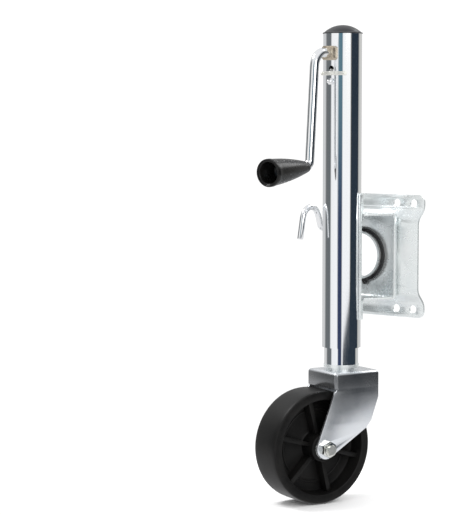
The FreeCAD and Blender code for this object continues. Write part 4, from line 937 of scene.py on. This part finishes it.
soften_edges(plate, EDGE_ROUND * MM)
hand_over(plate, "bracket", sheet_plating, "zinc_satin", "mount_plate")

# %% [markdown]
# The saddle is welded from pressings: a shallow tray with a big round hole, whose top and bottom run on to the
# tube as flanges, and two upright walls that hug the tube and flare back to the tray.

# %% Saddle tray
WEB_DEPTH = 51.0
TRAY_HALF_WIDTH = 55.0
TRAY_HALF_HEIGHT = 57.0
TRAY_LIP = 8.0
TRAY_BEND = 4.5
FLANGE_REACH = 35.0
FLANGE_NARROW = 31.0
WALL_HALF_HEIGHT = 82.0
TUBE_SEAT = 25.45

tray_width, tray_height = TRAY_HALF_WIDTH * 2 * MM, TRAY_HALF_HEIGHT * 2 * MM
tray = sheet("tray", tray_width, tray_height, (0, WEB_DEPTH * MM, 0), (math.pi / 2, 0, 0))
edit(tray, "EDGE")
bpy.ops.mesh.select_all(action="SELECT")
bpy.ops.mesh.delete(type="ONLY_FACE")
bpy.ops.mesh.select_all(action="SELECT")
extrude((0, -TRAY_LIP * MM, 0))
lip_depth = (WEB_DEPTH - TRAY_LIP) * MM
choose(tray, lambda point: near(point.y, WEB_DEPTH * MM), "EDGE")
bpy.ops.mesh.edge_face_add()


def tray_fold(point):
    """Whether a point is on the tray's back rim or one of its four corners."""
    corner = near(abs(point.x), TRAY_HALF_WIDTH * MM) and near(abs(point.z), TRAY_HALF_HEIGHT * MM)
    return corner or near(point.y, WEB_DEPTH * MM)


fold_edges(tray, tray_fold, TRAY_BEND)
share = FLANGE_NARROW / (TRAY_HALF_WIDTH - TRAY_BEND)
for end in (-1, 1):
    level = end * TRAY_HALF_HEIGHT * MM
    choose(tray, lambda point: near(point.y, lip_depth) and near(point.z, level), "EDGE")
    extrude((0, -FLANGE_REACH * MM, 0))
    bpy.ops.transform.resize(value=(share, 1, 1), center_override=(0, 0, 0))
bpy.ops.mesh.select_all(action="SELECT")
bpy.ops.mesh.remove_doubles(threshold=1e-5)
bpy.ops.mesh.normals_make_consistent(inside=False)
clear_selection()
web_face = max(tray.data.polygons, key=lambda face: face.area)
inward = -1.0 if web_face.normal.y > 0 else 1.0
apply_modifier(tray, "SOLIDIFY", "thickness", thickness=SHEET * MM, offset=inward, use_even_offset=True)

# %% Saddle walls
RUNNING_GAP = 0.06
PIN_SEAT_RADIUS = 4.1
SEAT_Y = 0.05
SEAT_PUNCH = 0.04
TUBE_PUNCH = 0.2
WALL_FRONT = 2.0
WALL_STRAIGHT = 9.0
FLARE_RADIUS = 50.0
FLARE = math.radians(35)
FLARE_STEPS = 10
WINDOW_FRONT = 5.5


def make_wall():
    """The right wall: a strip beside the tube, bent outwards and run straight on to the tray."""
    clear_selection()
    half = WALL_HALF_HEIGHT * MM
    bpy.ops.mesh.primitive_plane_add(size=1, location=(TUBE_SEAT * MM, 0, 0), rotation=(0, math.pi / 2, 0))
    wall = bpy.context.object
    wall.scale = (half * 2, (WALL_STRAIGHT - WALL_FRONT) * MM, 1)
    wall.location.y = (WALL_STRAIGHT + WALL_FRONT) / 2 * MM
    bpy.ops.object.transform_apply(location=True, rotation=True, scale=True)
    edit(wall)
    choose(wall, lambda point: near(point.y, WALL_STRAIGHT * MM))
    bend = FLARE_RADIUS + SHEET
    centre = Vector(((TUBE_SEAT + bend) * MM, WALL_STRAIGHT * MM, 0))
    bpy.ops.mesh.spin(steps=FLARE_STEPS, angle=FLARE, center=centre, axis=(0, 0, 1))
    rest = (WEB_DEPTH - SHEET - WALL_STRAIGHT) * MM - bend * MM * math.sin(FLARE)
    extrude((rest * math.tan(FLARE), rest, 0))
    bpy.ops.mesh.select_all(action="SELECT")
    bpy.ops.mesh.normals_make_consistent(inside=False)
    clear_selection()
    outward = 1.0 if wall.data.polygons[0].normal.x > 0 else -1.0
    apply_modifier(wall, "SOLIDIFY", "thickness", thickness=SHEET * MM, offset=outward, use_even_offset=True)
    clear_selection()
    window_height = TRAY_HALF_HEIGHT * 2 * MM
    bpy.ops.mesh.primitive_cube_add(size=1, location=(40 * MM, (WINDOW_FRONT + 40) * MM, 0))
    window = bpy.context.object
    window.scale = (60 * MM, 80 * MM, window_height)
    bpy.ops.object.transform_apply(location=True, rotation=True, scale=True)
    apply_modifier(wall, "BOOLEAN", "window", operation="DIFFERENCE", solver="EXACT", object=window)
    bpy.data.objects.remove(window)
    return wall


right_wall = make_wall()
left_wall = right_wall.copy()
left_wall.data = right_wall.data.copy()
bpy.context.scene.collection.objects.link(left_wall)
pick(left_wall)
left_wall.scale = (-1, 1, 1)
bpy.ops.object.transform_apply(location=True, rotation=True, scale=True)
edit(left_wall)
bpy.ops.mesh.select_all(action="SELECT")
bpy.ops.mesh.normals_make_consistent(inside=False)
clear_selection()
up = Vector((0, 0, 1))
tube_seat = [((0, 0, 0), up, TUBE_SEAT * MM, TUBE_PUNCH)]
pivot_seat = [((0, SEAT_Y, 0), back, (SPINDLE_RADIUS + RUNNING_GAP) * MM, SEAT_PUNCH)]
pin_seat = [((PIN_SIDE * MM, SEAT_Y, PIN_HEIGHT * MM), back, PIN_SEAT_RADIUS * MM, SEAT_PUNCH)]
punch(tray, tube_seat + pivot_seat + pin_seat)
for piece in (tray, right_wall, left_wall):
    soften_edges(piece, EDGE_ROUND * MM)
saddle = tray
pick(saddle)
right_wall.select_set(True)
left_wall.select_set(True)
bpy.ops.object.join()
saddle.name = "pressed_saddle"
settle(saddle, (SHAFT.x, SHAFT.y, 0))
hand_over(saddle, "jack", sheet_plating, "zinc_satin", "saddle")

# %% [markdown]
# The caster's fork is one blank folded three times: a top plate, an apron in front of the wheel, and two legs
# that lean forward to the axle. The folds are rounded first. Then each leg is extruded row by row down its
# outline, and its last rows close round the axle.

# %% Fork
FORK_HALF = 33.0
FORK_FRONT = -32.0
FORK_BACK = 37.0
APRON = 21.0
FORK_SHEET = 3.5
FORK_BEND = 4.5
FORK_ROUND = 0.5
BOLT_SEAT_RADIUS = 6.1
BOLT_PUNCH = 0.02
LEG_END = 14.0
AXLE_FRONT = -46.0
AXLE_DOWN = -97.0
LEG_ANGLES = (158.9, 303.8)
END_STEPS = 4


def leg_rows():
    """Front and back points of each row of a leg, in the fork's own Y and Z."""
    boss = (AXLE_FRONT, AXLE_DOWN)
    first = arc(boss, LEG_END, *LEG_ANGLES, END_STEPS * 2)
    top = (FORK_FRONT, -24.5)

    def front(share):
        return (top[0] + (first[0][0] - top[0]) * share, top[1] + (first[0][1] - top[1]) * share)

    rows = [
        (top, (FORK_BACK, -27.0)),
        (front(0.10), (FORK_BACK, -35.0)),
        (front(0.45), (26.0, -65.0)),
        (front(0.60), (17.5, -75.0)),
    ]
    for step in range(END_STEPS + 1):
        rows.append((first[step], first[-1 - step]))
    return rows


fork = sheet("folded_fork", FORK_HALF * 2 * MM, (FORK_BACK - FORK_FRONT) * MM, (0, 0, 0), (0, 0, 0))
edit(fork)
bpy.ops.mesh.select_all(action="SELECT")
bpy.ops.transform.translate(value=(0, (FORK_BACK + FORK_FRONT) / 2 * MM, 0))
choose(fork, lambda point: near(point.y, FORK_FRONT * MM), "EDGE")
extrude((0, 0, -APRON * MM))
for side in (-1, 1):
    edge_x = side * FORK_HALF * MM
    choose(fork, lambda point: near(point.x, edge_x) and near(point.z, 0), "EDGE")
    extrude((0, 0, -APRON * MM))
bpy.ops.mesh.select_all(action="SELECT")
bpy.ops.mesh.remove_doubles(threshold=1e-5)


def fork_fold(point):
    """Whether a point lies on one of the fork's five folds."""
    side = near(abs(point.x), FORK_HALF * MM)
    face = near(point.y, FORK_FRONT * MM)
    level = near(point.z, 0)
    return (side and level) or (face and level) or (side and face)


fold_edges(fork, fork_fold, FORK_BEND)
for side in (-1, 1):
    edge_x = side * FORK_HALF * MM
    choose(fork, lambda point: near(point.x, edge_x) and near(point.z, -APRON * MM), "EDGE")
    for front_point, back_point in leg_rows():
        extrude((0, 0, 0))
        mesh = bmesh.from_edit_mesh(fork.data)
        pair = sorted((vertex for vertex in mesh.verts if vertex.select), key=lambda vertex: vertex.co.y)
        for vertex, point in zip(pair, (front_point, back_point)):
            vertex.co = (edge_x, point[0] * MM, point[1] * MM)
        bmesh.update_edit_mesh(fork.data)
bpy.ops.mesh.select_all(action="SELECT")
bpy.ops.mesh.remove_doubles(threshold=1e-5)
bpy.ops.mesh.normals_make_consistent(inside=False)
clear_selection()
top_face = max(fork.data.polygons, key=lambda face: face.normal.z * face.area + abs(face.normal.z))
inside = -1.0 if top_face.normal.z > 0 else 1.0
apply_modifier(fork, "SOLIDIFY", "thickness", thickness=FORK_SHEET * MM, offset=inside, use_even_offset=True)
across = Vector((1, 0, 0))
bolt_seat = BOLT_SEAT_RADIUS * MM
axle_spots = [(side * FORK_HALF * MM, AXLE_FRONT * MM, AXLE_DOWN * MM) for side in (-1, 1)]
axle_holes = [(spot, across, bolt_seat, BOLT_PUNCH) for spot in axle_spots]
punch(fork, axle_holes + [((0, 0, 0), up, bolt_seat, BOLT_PUNCH)])
soften_edges(fork, FORK_ROUND * MM)
settle(fork, SWIVEL, None, math.atan2(AXLE_WAY.y, AXLE_WAY.x))
hand_over(fork, "fork", fork_plating_and_painted_reflection, "zinc_satin", "caster_fork")

# %% [markdown]
# Four small pieces have the right shape already and lack only worn edges: the nut, the bush, the strap and the
# nipple. Each is copied, its vertices are merged by distance, flat faces are rejoined, and its edges are bevelled.

# %% Softened copies
SOFTENED = [
    ("axle_nut", "domed_nut", "fork", bolt_plating, "fastener_zinc", 0.55),
    ("crank_bush", "cut_corner_bush", "jack", bush_bronze, "bush_brass", 0.7),
    ("guard_strap", "bent_strap", "jack", strap_plating, "plated_rod", 0.35),
    ("grease_nipple", "small_nipple", "jack", rod_plating, "plated_rod", 0.2),
]
FLAT_ANGLE = math.radians(2)
SOFTENED_ANGLE = 38

for node, name, body, material, slot, width in SOFTENED:
    clear_selection()
    piece = bpy.data.objects.new(name, nodes[node].data.copy())
    bpy.context.scene.collection.objects.link(piece)
    piece.matrix_world = nodes[node].matrix_world
    pick(piece)
    bpy.ops.object.transform_apply(location=True, rotation=True, scale=True)
    bpy.ops.mesh.customdata_custom_splitnormals_clear()
    edit(piece)
    bpy.ops.mesh.select_all(action="SELECT")
    bpy.ops.mesh.remove_doubles(threshold=POINT)
    bpy.ops.mesh.dissolve_limited(angle_limit=FLAT_ANGLE)
    clear_selection()
    soften_edges(piece, width * MM, 2, SOFTENED_ANGLE)
    hand_over(piece, body, material, slot, node)
